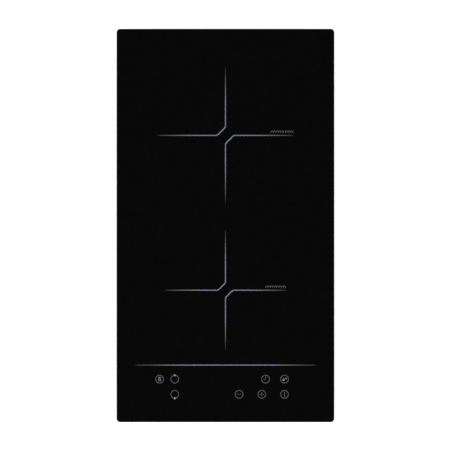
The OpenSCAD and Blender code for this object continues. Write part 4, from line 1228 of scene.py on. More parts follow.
class COOKTOP_OT_gland(bpy.types.Operator):
    """Turn the cable gland with its ribbed cap nut and rubber insert, and the nut behind the wall"""

    bl_idname = "cooktop.gland"
    bl_label = "Cable gland"

    def execute(self, context):
        low, high = box_mm("cable_gland")
        centre = (low + high) / 2
        turn = facing((0, 1, 0))
        at = (centre.x, 0, centre.z)
        wall, bore, thread_r, corner_r = high.y - 15.0, 5.5, 8.0, 11.5
        body = Shape()
        levels = [(bore + 0.9, low.y), (thread_r - 0.8, low.y), (thread_r, low.y + 0.7)]
        y = low.y + 1.4
        while y < wall - 0.8:
            levels += [(thread_r - 0.65, y), (thread_r, y + 0.7)]
            y += 1.4
        grip = hexagon(corner_r, corner_r - 0.25)
        levels += [(thread_r - 0.65, wall), (hexagon(corner_r, corner_r - 1.1), wall), (grip, wall + 0.7),
                   (grip, wall + 4.3), (hexagon(corner_r, corner_r - 1.1), wall + 5.0), (9.0, wall + 5.0),
                   (8.9, wall + 5.6), (bore + 1.6, wall + 5.6), (bore + 0.9, wall + 5.0)]
        body.stack(levels, at, turn, count=96, hollow=True)
        cap_r = corner_r - 0.8

        def ribbed(outer):
            plain = hexagon(outer, outer - 0.2)
            return lambda a: plain(a) - (0.22 if math.sin(24 * a) > 0 else 0.0)

        levels = [(bore + 1.6, wall + 5.6), (hexagon(cap_r, cap_r - 0.9), wall + 5.6),
                  (ribbed(cap_r), wall + 6.2), (ribbed(cap_r), wall + 11.4),
                  (hexagon(cap_r, cap_r - 0.9), wall + 12.0), (8.9, wall + 12.0),
                  (8.8, wall + 12.8), (8.3, wall + 13.8), (7.4, wall + 14.6), (6.6, wall + 15.0),
                  (6.3, wall + 15.0), (6.3, wall + 13.5), (bore + 1.6, wall + 12.6)]
        body.stack(levels, at, turn, count=96, hollow=True)
        piece("cable_gland_body", body, "black_plastic",
              stands_for="cable_gland")
        insert = Shape()
        levels = [(bore, low.y + 0.1), (bore + 0.85, low.y + 0.1), (bore + 0.85, wall + 5.2),
                  (bore + 1.5, wall + 6.2), (bore + 1.5, wall + 12.6), (6.25, wall + 13.6),
                  (6.25, wall + 14.5), (bore + 0.3, wall + 14.8),
                  (bore, wall + 14.4)]
        insert.stack(levels, at, turn, count=64, hollow=True)
        piece("gland_insert", insert, "bond")
        low, high = box_mm("gland_nut")
        nut = Shape()
        grip = hexagon(corner_r, corner_r - 0.2)
        levels = [(thread_r + 0.6, low.y), (hexagon(corner_r, corner_r - 1.0), low.y), (grip, low.y + 0.7),
                  (grip, high.y - 0.7), (hexagon(corner_r, corner_r - 1.0), high.y), (thread_r + 0.6, high.y),
                  (thread_r + 0.05, high.y - 0.5), (thread_r + 0.05, low.y + 0.5)]
        nut.stack(levels, at, turn, count=96, hollow=True)
        piece("gland_back_nut", nut, "black_plastic", stands_for="gland_nut")
        dress("cable_gland", "gland_nut")
        return {"FINISHED"}


class COOKTOP_OT_terminal_lid(bpy.types.Operator):
    """Mould the hinged lid of the terminal box"""

    bl_idname = "cooktop.terminal_lid"
    bl_label = "Terminal box lid"

    def execute(self, context):
        low, high = box_mm("terminal_lid")
        plate_z, sheet, barrel_r, pin_r, pin_out = low.z, 2.0, 1.8, 0.9, 2.1
        x0, x1, y0, y1 = low.x + pin_out, high.x - pin_out, low.y + barrel_r, high.y
        middle = (x0 + x1) / 2
        plate, lid = Shape(), Shape()
        plate.prism(rounded_rectangle((x0, y0), (x1, y1), 1.0), (plate_z, plate_z + sheet), 0.3)
        hinge_z, turn = plate_z + 2.6, facing((1, 0, 0))
        for a, b in ((x0, x0 + 9), (x1 - 9, x1)):
            lid.stack([(barrel_r - 0.25, a), (barrel_r, a + 0.25), (barrel_r, b - 0.25), (barrel_r - 0.25, b)],
                      (0, y0, hinge_z), turn, 32)
        for a, b in ((low.x, x0 + 4), (x1 - 4, high.x)):
            lid.stack([(pin_r - 0.15, a), (pin_r, a + 0.15), (pin_r, b - 0.15), (pin_r - 0.15, b)],
                      (0, y0, hinge_z), turn, 24)
        lid.block((middle - 5, y1 - 4, plate_z + sheet - 0.2), (middle + 5, y1 - 2.4, high.z - 0.6), 0.25)
        for x in (x0 + 12, x1 - 12):
            lid.block((x - 0.5, y0 + 4, plate_z + sheet - 0.2), (x + 0.5, y1 - 6, plate_z + sheet + 1.0), 0.2)
        made = piece("terminal_lid_moulding", plate, "black_plastic", body="terminal_lid",
                     stands_for="terminal_lid")
        slot_cut, grooves, field = Shape(), Shape(), Shape()
        slot_cut.block((middle - 7, y1 - 9, plate_z - 1), (middle + 7, y1 - 6.6, plate_z + 1.2), 0.2, 1.1)
        for k in range(-2, 3):
            y = y0 + 22.5 + 4 * k
            grooves.block((middle - 20, y - 0.6, plate_z - 1), (middle + 20, y + 0.6, plate_z + 0.5), 0.05, 0.55)
        outer = rounded_rectangle((x0 + 4, y0 + 3), (x1 - 4, y1 - 3), 2.5)
        field.loop([[(x, y, z) for x, y in line] for line, z in (
            (outer, plate_z - 1), (outer, plate_z + 0.35), (inset(outer, 0.9), plate_z + 0.35),
            (inset(outer, 0.9), plate_z - 1))])
        carve(made, slot_cut, grooves, field)
        join(made, lid)
        dress("terminal_lid")
        return {"FINISHED"}


class COOKTOP_OT_rating_plate(bpy.types.Operator):
    """Stick a blank foil plate on the back wall of the tray"""

    bl_idname = "cooktop.rating_plate"
    bl_label = "Rating plate"

    def execute(self, context):
        at = (-34, box_mm("base_tray")[1].y, 24)
        turn = Matrix.Translation(at) @ facing((0, 1, 0))
        half_w, half_h, margin = 34, 16, 2
        plate = Shape()
        plate.prism(rounded_rectangle((-half_w, -half_h), (half_w, half_h), 2.0), (0.0, 0.12), 0.04, turn=turn)
        half_w, half_h = half_w - margin, half_h - margin
        border = Shape()
        outer = rounded_rectangle((-half_w, -half_h), (half_w, half_h), 1.4)
        border.loop([[turn @ Vector((x, y, z)) for x, y in line]
                     for line, z in ((outer, 0.1), (outer, 0.15), (inset(outer, 0.5), 0.15),
                                     (inset(outer, 0.5), 0.1))])
        piece("rating_plate", plate, blank_foil("plate_foil"))
        piece("rating_plate_border", border, "black_plastic")
        return {"FINISHED"}


class COOKTOP_OT_sheet_metal(bpy.types.Operator):
    """Dress the tray, the coil deck, its pillars and the terminal box"""

    bl_idname = "cooktop.sheet_metal"
    bl_label = "Tray and terminal box"

    def execute(self, context):
        dress("base_tray", "coil_deck", "deck_pillars", "terminal_box", "terminal_block")
        return {"FINISHED"}


# ------------------------------------------------------------------ operators: coils


def spring(shape, at, radius, wire_r, z, turns):
    """A compression spring with closed ends."""
    z0, z1 = z[0] + wire_r, z[1] - wire_r
    path = []
    steps = int(turns * 24)
    for i in range(steps + 1):
        t = i / steps
        flat = 0.75 / turns
        rise = min(1.0, max(0.0, (t - flat / 2) / (1 - flat)))
        a = math.tau * turns * t
        height = z0 + (z1 - z0) * (rise * rise * (3 - 2 * rise) * 0.35 + rise * 0.65)
        path.append((at[0] + radius * math.cos(a), at[1] + radius * math.sin(a), height))
    shape.tube(path, wire_r, 8)


class COOKTOP_OT_springs(bpy.types.Operator):
    """Wind the coil springs, sensor springs and touch springs"""

    bl_idname = "cooktop.springs"
    bl_label = "Springs"

    def execute(self, context):
        kinds = (("coil_springs", 0.5, 6), ("sensor_springs", 0.4, 4.5), ("touch_springs", 0.5, 7))
        for node, wire_r, turns in kinds:
            shape = Shape()
            for low, high in islands(node):
                at = centre(low, high)[:2]
                spring(shape, at, (high.x - low.x) / 2 - wire_r, wire_r, (low.z, high.z), turns)
            piece(node[:-1] + "_set", shape, "spring_steel", stands_for=node)
            dress(node)
        return {"FINISHED"}


class COOKTOP_OT_coils(bpy.types.Operator):
    """Wind the two litz coils and set their ferrite bars, formers, mats and sensors"""

    bl_idname = "cooktop.coils"
    bl_label = "Coils"

    def execute(self, context):
        for name, zone in (("rear", REAR_ZONE), ("front", FRONT_ZONE)):
            self.winding(name, zone)
            self.ferrites(name, zone)
            self.sensor(name)
            dress(*(f"{name}_{part}" for part in ("coil_former", "winding", "ferrites", "insulation", "sensor")))
        return {"FINISHED"}

    def winding(self, name, zone):
        """One wire that spirals in from the rim, lying side by side with itself."""
        low, high = box_mm(name + "_winding")
        wire_r = (high.z - low.z) / 2
        pitch, inner_r = 2 * wire_r - 0.1, 22.0
        outer = (high.x - low.x) / 2 - wire_r
        turns = int((outer + wire_r - inner_r) / pitch) - 1
        z = (low.z + high.z) / 2
        step, path, angle = 2.4, [], 0.0
        while angle < math.tau * turns:
            r = outer - pitch * angle / math.tau
            path.append((zone.x + r * math.cos(angle), zone.y + r * math.sin(angle), z))
            angle += step / r
        shape = Shape()
        shape.tube(path, wire_r, 14, pitch_mm=3.4, strands=5)
        piece(name + "_litz_spiral", shape, "litz_copper",
              stands_for=name + "_winding")

    def ferrites(self, name, zone):
        low, high = box_mm(name + "_ferrites")
        outer, inner, half_w = (high.x - low.x) / 2, 21.0, 7.0
        shape = Shape()
        for k in range(8):
            turn = Matrix.Translation((zone.x, zone.y, 0)) @ Matrix.Rotation(math.tau * k / 8, 4, "Z")
            outline = rounded_rectangle((inner, -half_w), (outer, half_w), 0.8)
            shape.prism(outline, (low.z, high.z), 0.5, turn=turn)
        piece(name + "_ferrite_bars", shape, "ferrite", stands_for=name + "_ferrites")

    def sensor(self, name):
        """A ceramic cup with a flange and a domed rim that presses on the glass."""
        low, high = box_mm(name + "_sensor")
        at = centre(low, high)
        body_r, flange_r, bore = 6.5, 8.3, 2.4
        profile = [(bore, low.z), (body_r - 0.3, low.z), (body_r, low.z + 0.3), (body_r, low.z + 1.5),
                   (flange_r - 0.2, low.z + 1.5), (flange_r, low.z + 1.7), (flange_r, low.z + 2.7),
                   (flange_r - 0.2, low.z + 2.9), (body_r, low.z + 2.9), (body_r, high.z - 0.6),
                   (body_r - 0.2, high.z - 0.2), (body_r - 0.7, high.z), (body_r - 2.0, high.z),
                   (body_r - 2.2, high.z - 0.3), (0.01, high.z - 0.3), (0.01, low.z + 2.5), (bore, low.z + 2.5),
                   (bore, low.z)]
        shape = Shape()
        shape.lathe(profile, 48, at)
        piece(name + "_sensor_cup", shape, "sensor_ceramic",
              stands_for=name + "_sensor")


# ------------------------------------------------------------------ operators: leads

REAR_COIL_LEADS = (
    ((60, 52, 47), (70, 42, 45.5), (79, 34, 40), (80, 30, 31), (76, 32, 20), (76, 32, 17.5), (76, 32, 15)),
    ((69, 61, 42), (80, 50, 42), (90, 39, 38), (91, 31, 30), (88, 32, 20), (88, 32, 17.5), (88, 32, 15)))
FRONT_COIL_LEADS = (
    ((56, -25, 47), (67, -13, 45.5), (78, -4, 40), (80, 3, 31), (76, -4, 20), (76, -4, 17.5), (76, -4, 15)),
    ((63, -32, 42), (80, -17, 42), (90, -4, 38), (91, 3, 30), (88, -4, 20), (88, -4, 17.5), (88, -4, 15)))
SIGNAL_LEADS = (
    ((0, 119, 43), (0, 119, 36), (1, 117, 28), (5, 108, 22), (9, 97, 18), (9, 97, 16.1), (9, 97, 14.2)),
    ((0, -85.5, 43), (0, -85.5, 36), (1, -84, 28), (6, -76, 22), (15, -65, 18), (15, -65, 16.1),
     (15, -65, 14.2)),
    ((-45, 150, 27.8), (-32, 136, 27.8), (-27, 126, 27.8), (-25, 112, 24), (-27, 97, 18), (-27, 97, 16.1),
     (-27, 97, 14.2)))
MAINS_LEADS = (
    ((46, 185.8, 19), (46, 178, 19), (52, 164, 19), (58, 140, 20), (68, 110, 24), (71, 96, 21), (71, 96, 18.6),
     (71, 96, 16.2)),
    ((57, 185.8, 19), (57, 178, 19), (60, 164, 19), (70, 142, 20), (78, 112, 24), (79, 96, 21), (79, 96, 18.6),
     (79, 96, 16.2)),
    ((79, 185.8, 19), (79, 178, 19), (84, 164, 19), (92, 145, 19), (88, 114, 24), (87, 96, 21), (87, 96, 18.6),
     (87, 96, 16.2)))
RIBBON_LINE = ((-202, 32.9), (-202, 24), (-196, 17), (-184, 15), (-160, 16.5), (-148, 18.5), (-142, 18.5),
               (-142, 14.1))


def lead_set(name, paths, radius, finishes, node, strands=0):
    """Round leads with a metal end sleeve each; finishes holds one per lead, then the sleeve's."""
    shape = Shape()
    for k, path in enumerate(paths):
        line = smooth_path(path, 10)
        shape.tube(line, radius * 0.98, 14, min(k, len(finishes) - 2), 2 * radius, strands, 12.0)
        end = [p for p in line if (p - line[-1]).length < 2.2]
        shape.tube(end, radius * 1.0, 14, len(finishes) - 1)
    piece(name, shape, finishes, stands_for=node)
    dress(node)


class COOKTOP_OT_leads(bpy.types.Operator):
    """Run the coil leads, signal leads, mains leads and the ribbon"""

    bl_idname = "cooktop.leads"
    bl_label = "Leads"

    def execute(self, context):
        ferrule = finish_for("brass")
        sleeve = finish_for("coil_sleeve")
        lead_set("rear_coil_lead_pair", REAR_COIL_LEADS, 1.7, [sleeve, ferrule],
                 "rear_coil_leads", 5)
        lead_set("front_coil_lead_pair", FRONT_COIL_LEADS, 1.7, [sleeve, ferrule],
                 "front_coil_leads", 5)
        lead_set("signal_lead_set", SIGNAL_LEADS, 1.0, [finish_for("white_wire"), ferrule],
                 "sensor_leads")
        brown = moulded("live_wire", (0.16, 0.06, 0.025), (0.3, 0.42), 1.0, 0.01, 0.05)
        green = moulded("earth_wire", (0.10, 0.30, 0.04), (0.3, 0.42), 1.0, 0.01, 0.05)
        lead_set("mains_lead_set", MAINS_LEADS, 1.3, [brown, finish_for("mains_wire"), green, ferrule],
                 "mains_leads")
        self.ribbon()
        return {"FINISHED"}

    def ribbon(self):
        """Twelve wires side by side in one grey web."""
        line = smooth_path([(0, y, z) for y, z in RIBBON_LINE], 8)
        wires, half_w, half_t = 12, 8.0, 0.5
        across = [-half_w + 2 * half_w * k / (wires * 4) for k in range(wires * 4 + 1)]
        rings = []
        for i, p in enumerate(line):
            along = (line[min(i + 1, len(line) - 1)] - line[max(i - 1, 0)]).normalized()
            up = Vector((0, -along.z, along.y))
            thick = [half_t * (0.45 + 0.55 * abs(math.sin(math.pi * k / 4))) for k in range(len(across))]
            top = [p + Vector((x, 0, 0)) + up * h for x, h in zip(across, thick)]
            under = [p + Vector((x, 0, 0)) - up * h for x, h in zip(across, thick)]
            rings.append(top + under[::-1])
        shape = Shape()
        shape.rings(rings)
        piece("ribbon_web", shape, "ribbon_grey", stands_for="ribbon_cable")
        dress("ribbon_cable")


# ------------------------------------------------------------------ operators: boards


class COOKTOP_OT_power_board(bpy.types.Operator):
    """Fit the power board with its capacitors, choke, relay, transformer and small parts"""

    bl_idname = "cooktop.power_board"
    bl_label = "Power board"

    def execute(self, context):
        self.film_capacitors()
        self.can_capacitors()
        self.choke()
        self.relay()
        self.transformer()
        self.small_parts()
        dress("power_board", "board_pillars", "heat_sink", "transistors", "rectifier", "film_capacitors",
              "can_capacitors", "choke_core", "choke_winding", "relay", "transformer", "coil_terminals",
              "board_connectors", "board_chips")
        return {"FINISHED"}

    def film_capacitors(self):
        shape = Shape()
        for low, high in islands("film_capacitors"):
            shape.block((low.x, low.y, low.z + 0.4), high, 0.9, 1.6)
            for x in (low.x + 3.5, high.x - 3.5):
                y = (low.y + high.y) / 2
                shape.block((x - 0.4, y - 0.4, low.z), (x + 0.4, y + 0.4, low.z + 1.2), 0.1)
        piece("film_capacitor_set", shape, "capacitor_red",
              stands_for="film_capacitors")

    def can_capacitors(self):
        """Sleeved cans with a rolled neck and a scored aluminium top."""
        shape = Shape()
        for low, high in islands("can_capacitors"):
            r, at = (high.x - low.x) / 2, centre(low, high)
            z, top = low.z, high.z
            profile = [(0.01, z), (r - 0.5, z), (r - 0.1, z + 0.3), (r, z + 0.7), (r, z + 1.7),
                       (r - 0.25, z + 2.1), (r - 0.7, z + 2.4), (r - 0.25, z + 2.7), (r, z + 3.1),
                       (r, top - 0.9), (r - 0.15, top - 0.4),
                       (r - 0.5, top - 0.1), (r - 1.1, top), (r - 1.3, top - 0.15), (0.01, top - 0.15)]
            shape.lathe(profile, 48, at)
            shape.stack([(r - 1.35, top - 0.3), (r - 1.45, top - 0.05), (cross(r * 0.62, 0.22), top - 0.05),
                         (cross(r * 0.6, 0.1), top - 0.22)], at, tint=1)
        piece("can_capacitor_set", shape, ["capacitor_blue", "deck_aluminium"], stands_for="can_capacitors")

    def choke(self):
        """A painted ring core with two halves of nine turns."""
        low, high = box_mm("choke_core")
        at = Vector(centre(low, high))
        outer, inner, soft = (high.x - low.x) / 2, 8.0, 1.6
        core = Shape()
        section = rounded_rectangle((inner, low.z), (outer, high.z), soft)
        core.lathe(section + section[:1], 64, at)
        piece("choke_ring", core, "ferrite", stands_for="choke_core")
        low, high = box_mm("choke_winding")
        wire_r = 0.7
        half_r = (outer - inner) / 2 + 1.0
        half_z, middle_z = (high.z - low.z) / 2 - wire_r, (high.z + low.z) / 2
        middle_r, turns, sweep = (outer + inner) / 2, 8.5, 64.0
        winding = Shape()
        for half in (0, 180):
            path = []
            for i in range(int(turns * 28) + 1):
                t = i / (turns * 28)
                a = math.tau * turns * t
                c, s = math.cos(a), math.sin(a)
                r = middle_r + half_r * math.copysign(abs(c) ** 0.5, c)
                z = middle_z + half_z * math.copysign(abs(s) ** 0.5, s)
                turn = math.radians(half - sweep + 2 * sweep * t)
                path.append((at.x + r * math.cos(turn), at.y + r * math.sin(turn), z))
            winding.tube(evenly(path, 0.9), wire_r, 8)
        piece("choke_turns", winding, "litz_copper", stands_for="choke_winding")

    def relay(self):
        low, high = box_mm("relay")
        shape = Shape()
        shape.block(low, (high.x, high.y, low.z + 2.0), 0.3, 0.6)
        shape.block((low.x + 0.4, low.y + 0.4, low.z + 1.5), (high.x - 0.4, high.y - 0.4, high.z), 0.5, 1.0)
        shape.block((low.x + 2, low.y + 2, high.z - 0.4), (low.x + 5, low.y + 5, high.z - 0.05), 0.1, 0.5)
        piece("relay_case", shape, "relay_blue", stands_for="relay")

    def transformer(self):
        """A bobbin with two cheeks, taped windings and a ferrite core round them."""
        low, high = box_mm("transformer")
        shape = Shape()
        middle = (low + high) / 2
        shape.block((low.x, low.y + 4, low.z), (high.x, high.y - 4, low.z + 3), 0.3, 0.6)
        for y0, y1 in ((low.y + 4.2, low.y + 5.6), (high.y - 5.6, high.y - 4.2)):
            shape.block((low.x + 2.0, y0, low.z + 2.9), (high.x - 2.0, y1, high.z - 2.2), 0.3, 0.4)
        shape.block((low.x + 3.2, low.y + 5.4, low.z + 3.4),
                    (high.x - 3.2, high.y - 5.4, high.z - 2.0), 0.6, 1.4,
                    tint=1)
        for y0, y1 in ((low.y, low.y + 4.0), (high.y - 4.0, high.y)):
            shape.block((low.x + 3, y0, low.z + 2.9), (high.x - 3, y1, high.z - 1.5), 0.4, 0.6, tint=2)
        shape.block((low.x, middle.y - 4, high.z - 3.4), (high.x, middle.y + 4, high.z), 0.5, 0.8, tint=2)
        for x0, x1 in ((low.x, low.x + 2.9), (high.x - 2.9, high.x)):
            shape.block((x0, middle.y - 4, low.z + 2.9), (x1, middle.y + 4, high.z - 1.0), 0.5, 0.6, tint=2)
        piece("transformer_stack", shape,
              ["epoxy_black", "transformer_tape", "ferrite"],
              stands_for="transformer")

    def small_parts(self):
        """Chip resistors and capacitors in rows on the free parts of both boards, with tinned ends."""
        shape = Shape()
        random.seed(21)
        top = box_mm("power_board")[1].z
        rows = [(-52, -122, 9, 1), (-52, -116, 9, 1), (-50, -84, 7, 1), (-44, -76, 6, 1), (20, -128, 8, 1),
                (20, -122, 8, 1), (70, -126, 6, 1), (-92, -80, 6, 1), (-92, -100, 6, 1), (24, -30, 9, 1),
                (-48, 6, 5, 0), (-48, 70, 4, 0), (60, 78, 5, 1), (-84, -60, 7, 1)]
        for x, y, count, along_x in rows:
            pitch = 3.6 if along_x else 3.2
            for k in range(count):
                at = (x + pitch * k, y) if along_x else (x, y + pitch * k)
                if random.random() < 0.15:
                    continue
                length, width, height = random.choice(((2.0, 1.25, 0.5), (3.2, 1.6, 0.6), (2.0, 1.25, 1.0)))
                size = (width, length) if along_x else (length, width)
                self.chip(shape, at, size, (top, top + height), 1 if height > 0.9 else 0, not along_x)
        piece("board_chip_parts", shape,
              ["epoxy_black", sintered("chip_tan", (0.42, 0.30, 0.18), 0.4), "zinc_screw"])

    def chip(self, shape, at, size, z, tint, along_x):
        x, y = at
        a, b = size[0] / 2, size[1] / 2
        end = 0.4
        if along_x:
            shape.block((x - a + end, y - b, z[0]), (x + a - end, y + b, z[1]), 0.05, tint=tint)
            for s in (-1, 1):
                shape.block((x + s * (a - end / 2) - end / 2, y - b, z[0]),
                            (x + s * (a - end / 2) + end / 2, y + b, z[1]), 0.05, tint=2)
        else:
            shape.block((x - a, y - b + end, z[0]), (x + a, y + b - end, z[1]), 0.05, tint=tint)
            for s in (-1, 1):
                shape.block((x - a, y + s * (b - end / 2) - end / 2, z[0]),
                            (x + a, y + s * (b - end / 2) + end / 2, z[1]), 0.05, tint=2)


class COOKTOP_OT_touch_board(bpy.types.Operator):
    """Fit the touch board with its displays and sounder"""

    bl_idname = "cooktop.touch_board"
    bl_label = "Touch board"

    def execute(self, context):
        self.display_faces()
        self.sounder()
        dress("control_carrier", "control_board", "displays", "buzzer")
        return {"FINISHED"}

    def display_faces(self):
        """Cases with a bevelled face, and the unlit bars of each digit."""
        case, bars = Shape(), Shape()
        for low, high in islands("displays"):
            case.block(low, (high.x, high.y, high.z - 0.1), 0.35, 0.5)
            digits = 2 if high.x - low.x > 18 else 1
            for k in range(digits):
                x = low.x + (high.x - low.x) * (k + 0.5) / digits
                y = (low.y + high.y) / 2
                w, h, t = 3.0, 5.2, 0.55
                top = (high.z - 0.12, high.z)
                for cx, cy, flat in ((0, h, 1), (0, 0, 1), (0, -h, 1), (-w, h / 2, 0), (w, h / 2, 0),
                                     (-w, -h / 2, 0), (w, -h / 2, 0)):
                    length = (w if flat else h / 2) - 0.35
                    bar_line = [(-length, 0), (-length + t, -t), (length - t, -t), (length, 0),
                                (length - t, t), (-length + t, t)]
                    line = bar_line if flat else [(-b, a) for a, b in bar_line]
                    bars.prism([(x + cx + a, y + cy + b) for a, b in line], top)
        piece("display_cases", case, "display_smoke", stands_for="displays")
        piece("display_bars", bars, moulded("display_bar", (0.42, 0.40, 0.38), (0.3, 0.4), 0.5, 0.005, 0.05))

    def sounder(self):
        low, high = box_mm("buzzer")
        at = centre(low, high)
        r, hole = (high.x - low.x) / 2, 1.2
        profile = [(hole, low.z), (r - 0.2, low.z), (r, low.z + 0.2), (r, high.z - 0.5),
                   (r - 0.15, high.z - 0.15),
                   (r - 0.5, high.z), (hole + 0.8, high.z), (hole + 0.7, high.z - 0.3), (hole, high.z - 0.3),
                   (hole, low.z)]
        shape = Shape()
        shape.lathe(profile, 48, at)
        piece("sounder_case", shape, "epoxy_black", stands_for="buzzer")


# ------------------------------------------------------------------ operators: blower


class COOKTOP_OT_blower(bpy.types.Operator):
    """Mould the impeller with its curved blades and dress the scroll, cover and motor"""

    bl_idname = "cooktop.blower"
    bl_label = "Blower"

    def execute(self, context):
        low, high = box_mm("fan_impeller")
        at = (FAN_CENTRE.x, FAN_CENTRE.y, 0)
        rim_r, cup_r, wall, shaft_r = (high.x - low.x) / 2, 17.0, 1.5, 1.5
        base, top = low.z, high.z
        wheel = Shape()
        cup = [(0.01, base + 3), (cup_r - 1.2, base + 3), (cup_r - 0.3, base + 3.3), (cup_r, base + 4.2),
               (cup_r, top - 2.0), (rim_r - 0.4, top - 2.0), (rim_r, top - 1.7), (rim_r, top - 0.7),
               (rim_r - 0.2, top - 0.5), (cup_r - wall, top - 0.5), (cup_r - wall, base + 4.5),
               (0.01, base + 4.5)]
        wheel.lathe(cup, 96, at)
        ring_line = [(rim_r - 3, base + 0.2), (rim_r - 2.8, base), (rim_r - 0.2, base), (rim_r, base + 0.2),
                     (rim_r, base + 1.3), (rim_r - 0.2, base + 1.5), (rim_r - 2.8, base + 1.5),
                     (rim_r - 3, base + 1.3), (rim_r - 3, base + 0.2)]
        wheel.lathe(ring_line, 96, at)
        wheel.lathe([(0.01, base + 4), (shaft_r, base + 4), (shaft_r, top - 0.3), (shaft_r - 0.3, top),
                     (0.01, top)], 24, at, tint=1)
        blades, inner_r, thick = 31, rim_r - 7.6, 0.8
        for k in range(blades):
            turn = Matrix.Translation(at) @ Matrix.Rotation(math.tau * k / blades, 4, "Z")
            front, back = [], []
            for i in range(9):
                t = i / 8
                r = inner_r + (rim_r - 0.7 - inner_r) * t
                a = 0.10 * t + 0.13 * t * t
                half = thick / 2 * (0.65 + 0.35 * math.sin(math.pi * t)) / r
                front.append((r * math.cos(a + half), r * math.sin(a + half)))
                back.append((r * math.cos(a - half), r * math.sin(a - half)))
            wheel.prism(back + front[::-1], (base + 1, top - 1.6), turn=turn)
        piece("impeller_wheel", wheel, ["impeller_black", "pillar_steel"], body="impeller",
              stands_for="fan_impeller")
        dress("fan_impeller", "fan_housing", "fan_cover", "fan_motor")
        return {"FINISHED"}


# ------------------------------------------------------------------ operator: stage


LAMPS = (    # name, place and width in metres, power in watts
    ("key_light", (-1.6, -1.2, 1.5), 1.6, 26),
    ("fill_light", (1.7, -0.9, 1.3), 1.8, 14),
    ("back_light", (0.3, 2.0, 1.4), 1.6, 16),
)


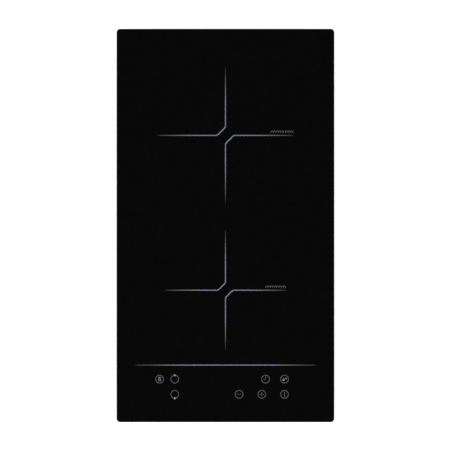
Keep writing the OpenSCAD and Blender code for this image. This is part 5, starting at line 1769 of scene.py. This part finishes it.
class COOKTOP_OT_stage(bpy.types.Operator):
    """Set the pale floor, the soft light and the camera straight above the glass"""

    bl_idname = "cooktop.stage"
    bl_label = "Stage"

    def execute(self, context):
        scene, stage = context.scene, context.scene.cooktop_stage
        self.make_floor(stage)
        self.make_sky(scene, stage)
        self.make_lights(scene)
        self.make_camera(scene, stage)
        scene.view_settings.view_transform = "Standard"
        return {"FINISHED"}

    def make_floor(self, stage):
        """A white floor that can be seen through from below."""
        size, gap = 60.0, 0.0004
        mesh = bpy.data.meshes.new("floor")
        corners = [(-size, -size, 0), (size, -size, 0), (size, size, 0), (-size, size, 0)]
        mesh.from_pydata(corners, [], [(0, 1, 2, 3)])
        f = Finish("floor_paint", tuple(stage.floor), Roughness=0.9, Specular_IOR_Level=0.0)
        f.shader.inputs["Emission Color"].default_value = (1, 1, 1, 1)
        f.shader.inputs["Emission Strength"].default_value = stage.glow
        clear = f.node("BsdfTransparent")
        choose = f.node("MixShader")
        f.feed(f.node("NewGeometry").outputs["Backfacing"], choose.inputs[0])
        f.tree.links.new(f.shader.outputs[0], choose.inputs[1])
        f.tree.links.new(clear.outputs[0], choose.inputs[2])
        f.tree.links.new(choose.outputs[0], f.tree.nodes["Material Output"].inputs["Surface"])
        mesh.materials.append(f.material)
        floor = bpy.data.objects.new("floor", mesh)
        floor.location = (0, 0, -gap)
        bpy.context.scene.collection.objects.link(floor)

    def make_sky(self, scene, stage):
        """Even light from all sides, with a dark patch overhead that keeps the glass black."""
        world = bpy.data.worlds.new("soft_studio")
        world.use_nodes = True
        tree = world.node_tree
        back = tree.nodes["Background"]
        coord = tree.nodes.new("ShaderNodeTexCoord")
        split = tree.nodes.new("ShaderNodeSeparateXYZ")
        ramp = tree.nodes.new("ShaderNodeValToRGB")
        tree.links.new(coord.outputs["Generated"], split.inputs[0])
        tree.links.new(split.outputs["Z"], ramp.inputs["Fac"])
        tree.links.new(ramp.outputs["Color"], back.inputs["Color"])
        elements = ramp.color_ramp.elements
        elements[0].position, elements[0].color = 0.10, (1, 1, 1, 1)
        elements[1].position, elements[1].color = 0.96, (0.012, 0.012, 0.013, 1)
        middle = elements.new(0.55)
        middle.color = (0.42, 0.42, 0.42, 1)
        back.inputs["Strength"].default_value = stage.sky
        backdrop = tree.nodes.new("ShaderNodeBackground")
        seen = tree.nodes.new("ShaderNodeLightPath")
        choose = tree.nodes.new("ShaderNodeMixShader")
        tree.links.new(seen.outputs["Is Camera Ray"], choose.inputs[0])
        tree.links.new(back.outputs[0], choose.inputs[1])
        tree.links.new(backdrop.outputs[0], choose.inputs[2])
        tree.links.new(choose.outputs[0], tree.nodes["World Output"].inputs["Surface"])
        backdrop.inputs["Color"].default_value = (1, 1, 1, 1)
        scene.world = world

    def make_lights(self, scene):
        """Three round lamps aimed at the middle; their discs don't show in the glass."""
        for name, at, size, power in LAMPS:
            light = bpy.data.lights.new(name, "AREA")
            light.shape = "DISK"
            light.size = size
            light.energy = power
            lamp = bpy.data.objects.new(name, light)
            lamp.location = at
            lamp.visible_glossy = False
            lamp.rotation_euler = (-Vector(at)).to_track_quat("-Z", "Y").to_euler()
            scene.collection.objects.link(lamp)

    def make_camera(self, scene, stage):
        data = bpy.data.cameras.new("camera")
        data.lens = stage.lens
        data.sensor_width = 36.0
        height = stage.view_width * stage.lens / data.sensor_width
        data.clip_start, data.clip_end = 0.1, height * 4
        camera = bpy.data.objects.new("camera", data)
        camera.location = (stage.view_shift_x, stage.view_shift_y, GLASS_TOP * MM + height)
        scene.collection.objects.link(camera)
        scene.camera = camera


# ------------------------------------------------------------------ panel and registration


class COOKTOP_PT_panel(bpy.types.Panel):
    """Lists the steps that build the cooktop"""

    bl_idname = "COOKTOP_PT_panel"
    bl_label = "Cooktop"
    bl_space_type = "VIEW_3D"
    bl_region_type = "UI"
    bl_category = "Cooktop"

    def draw(self, context):
        for operator in OPERATORS:
            self.layout.operator(operator.bl_idname)
        for name in SETTINGS:
            group = getattr(context.scene, name)
            for key in group.__annotations__:
                self.layout.prop(group, key)


SETTINGS = {
    "cooktop_print": PrintSettings,
    "cooktop_metal": MetalSettings,
    "cooktop_plastic": PlasticSettings,
    "cooktop_stage": StageSettings,
}
OPERATORS = (
    COOKTOP_OT_stage,
    COOKTOP_OT_glass,
    COOKTOP_OT_zone_marks,
    COOKTOP_OT_key_symbols,
    COOKTOP_OT_seal,
    COOKTOP_OT_screws,
    COOKTOP_OT_clamps,
    COOKTOP_OT_gland,
    COOKTOP_OT_terminal_lid,
    COOKTOP_OT_rating_plate,
    COOKTOP_OT_sheet_metal,
    COOKTOP_OT_coils,
    COOKTOP_OT_springs,
    COOKTOP_OT_leads,
    COOKTOP_OT_power_board,
    COOKTOP_OT_touch_board,
    COOKTOP_OT_blower,
)
CLASSES = (*SETTINGS.values(), *OPERATORS, COOKTOP_PT_panel)


def register():
    for cls in CLASSES:
        bpy.utils.register_class(cls)
    for name, group in SETTINGS.items():
        setattr(bpy.types.Scene, name, bpy.props.PointerProperty(type=group))


def unregister():
    for name in SETTINGS:
        delattr(bpy.types.Scene, name)
    for cls in reversed(CLASSES):
        bpy.utils.unregister_class(cls)


def main():
    random.seed(7)
    register()
    for operator in OPERATORS:
        family, step = operator.bl_idname.split(".")
        getattr(getattr(bpy.ops, family), step)()


if __name__ == "__main__":
    main()
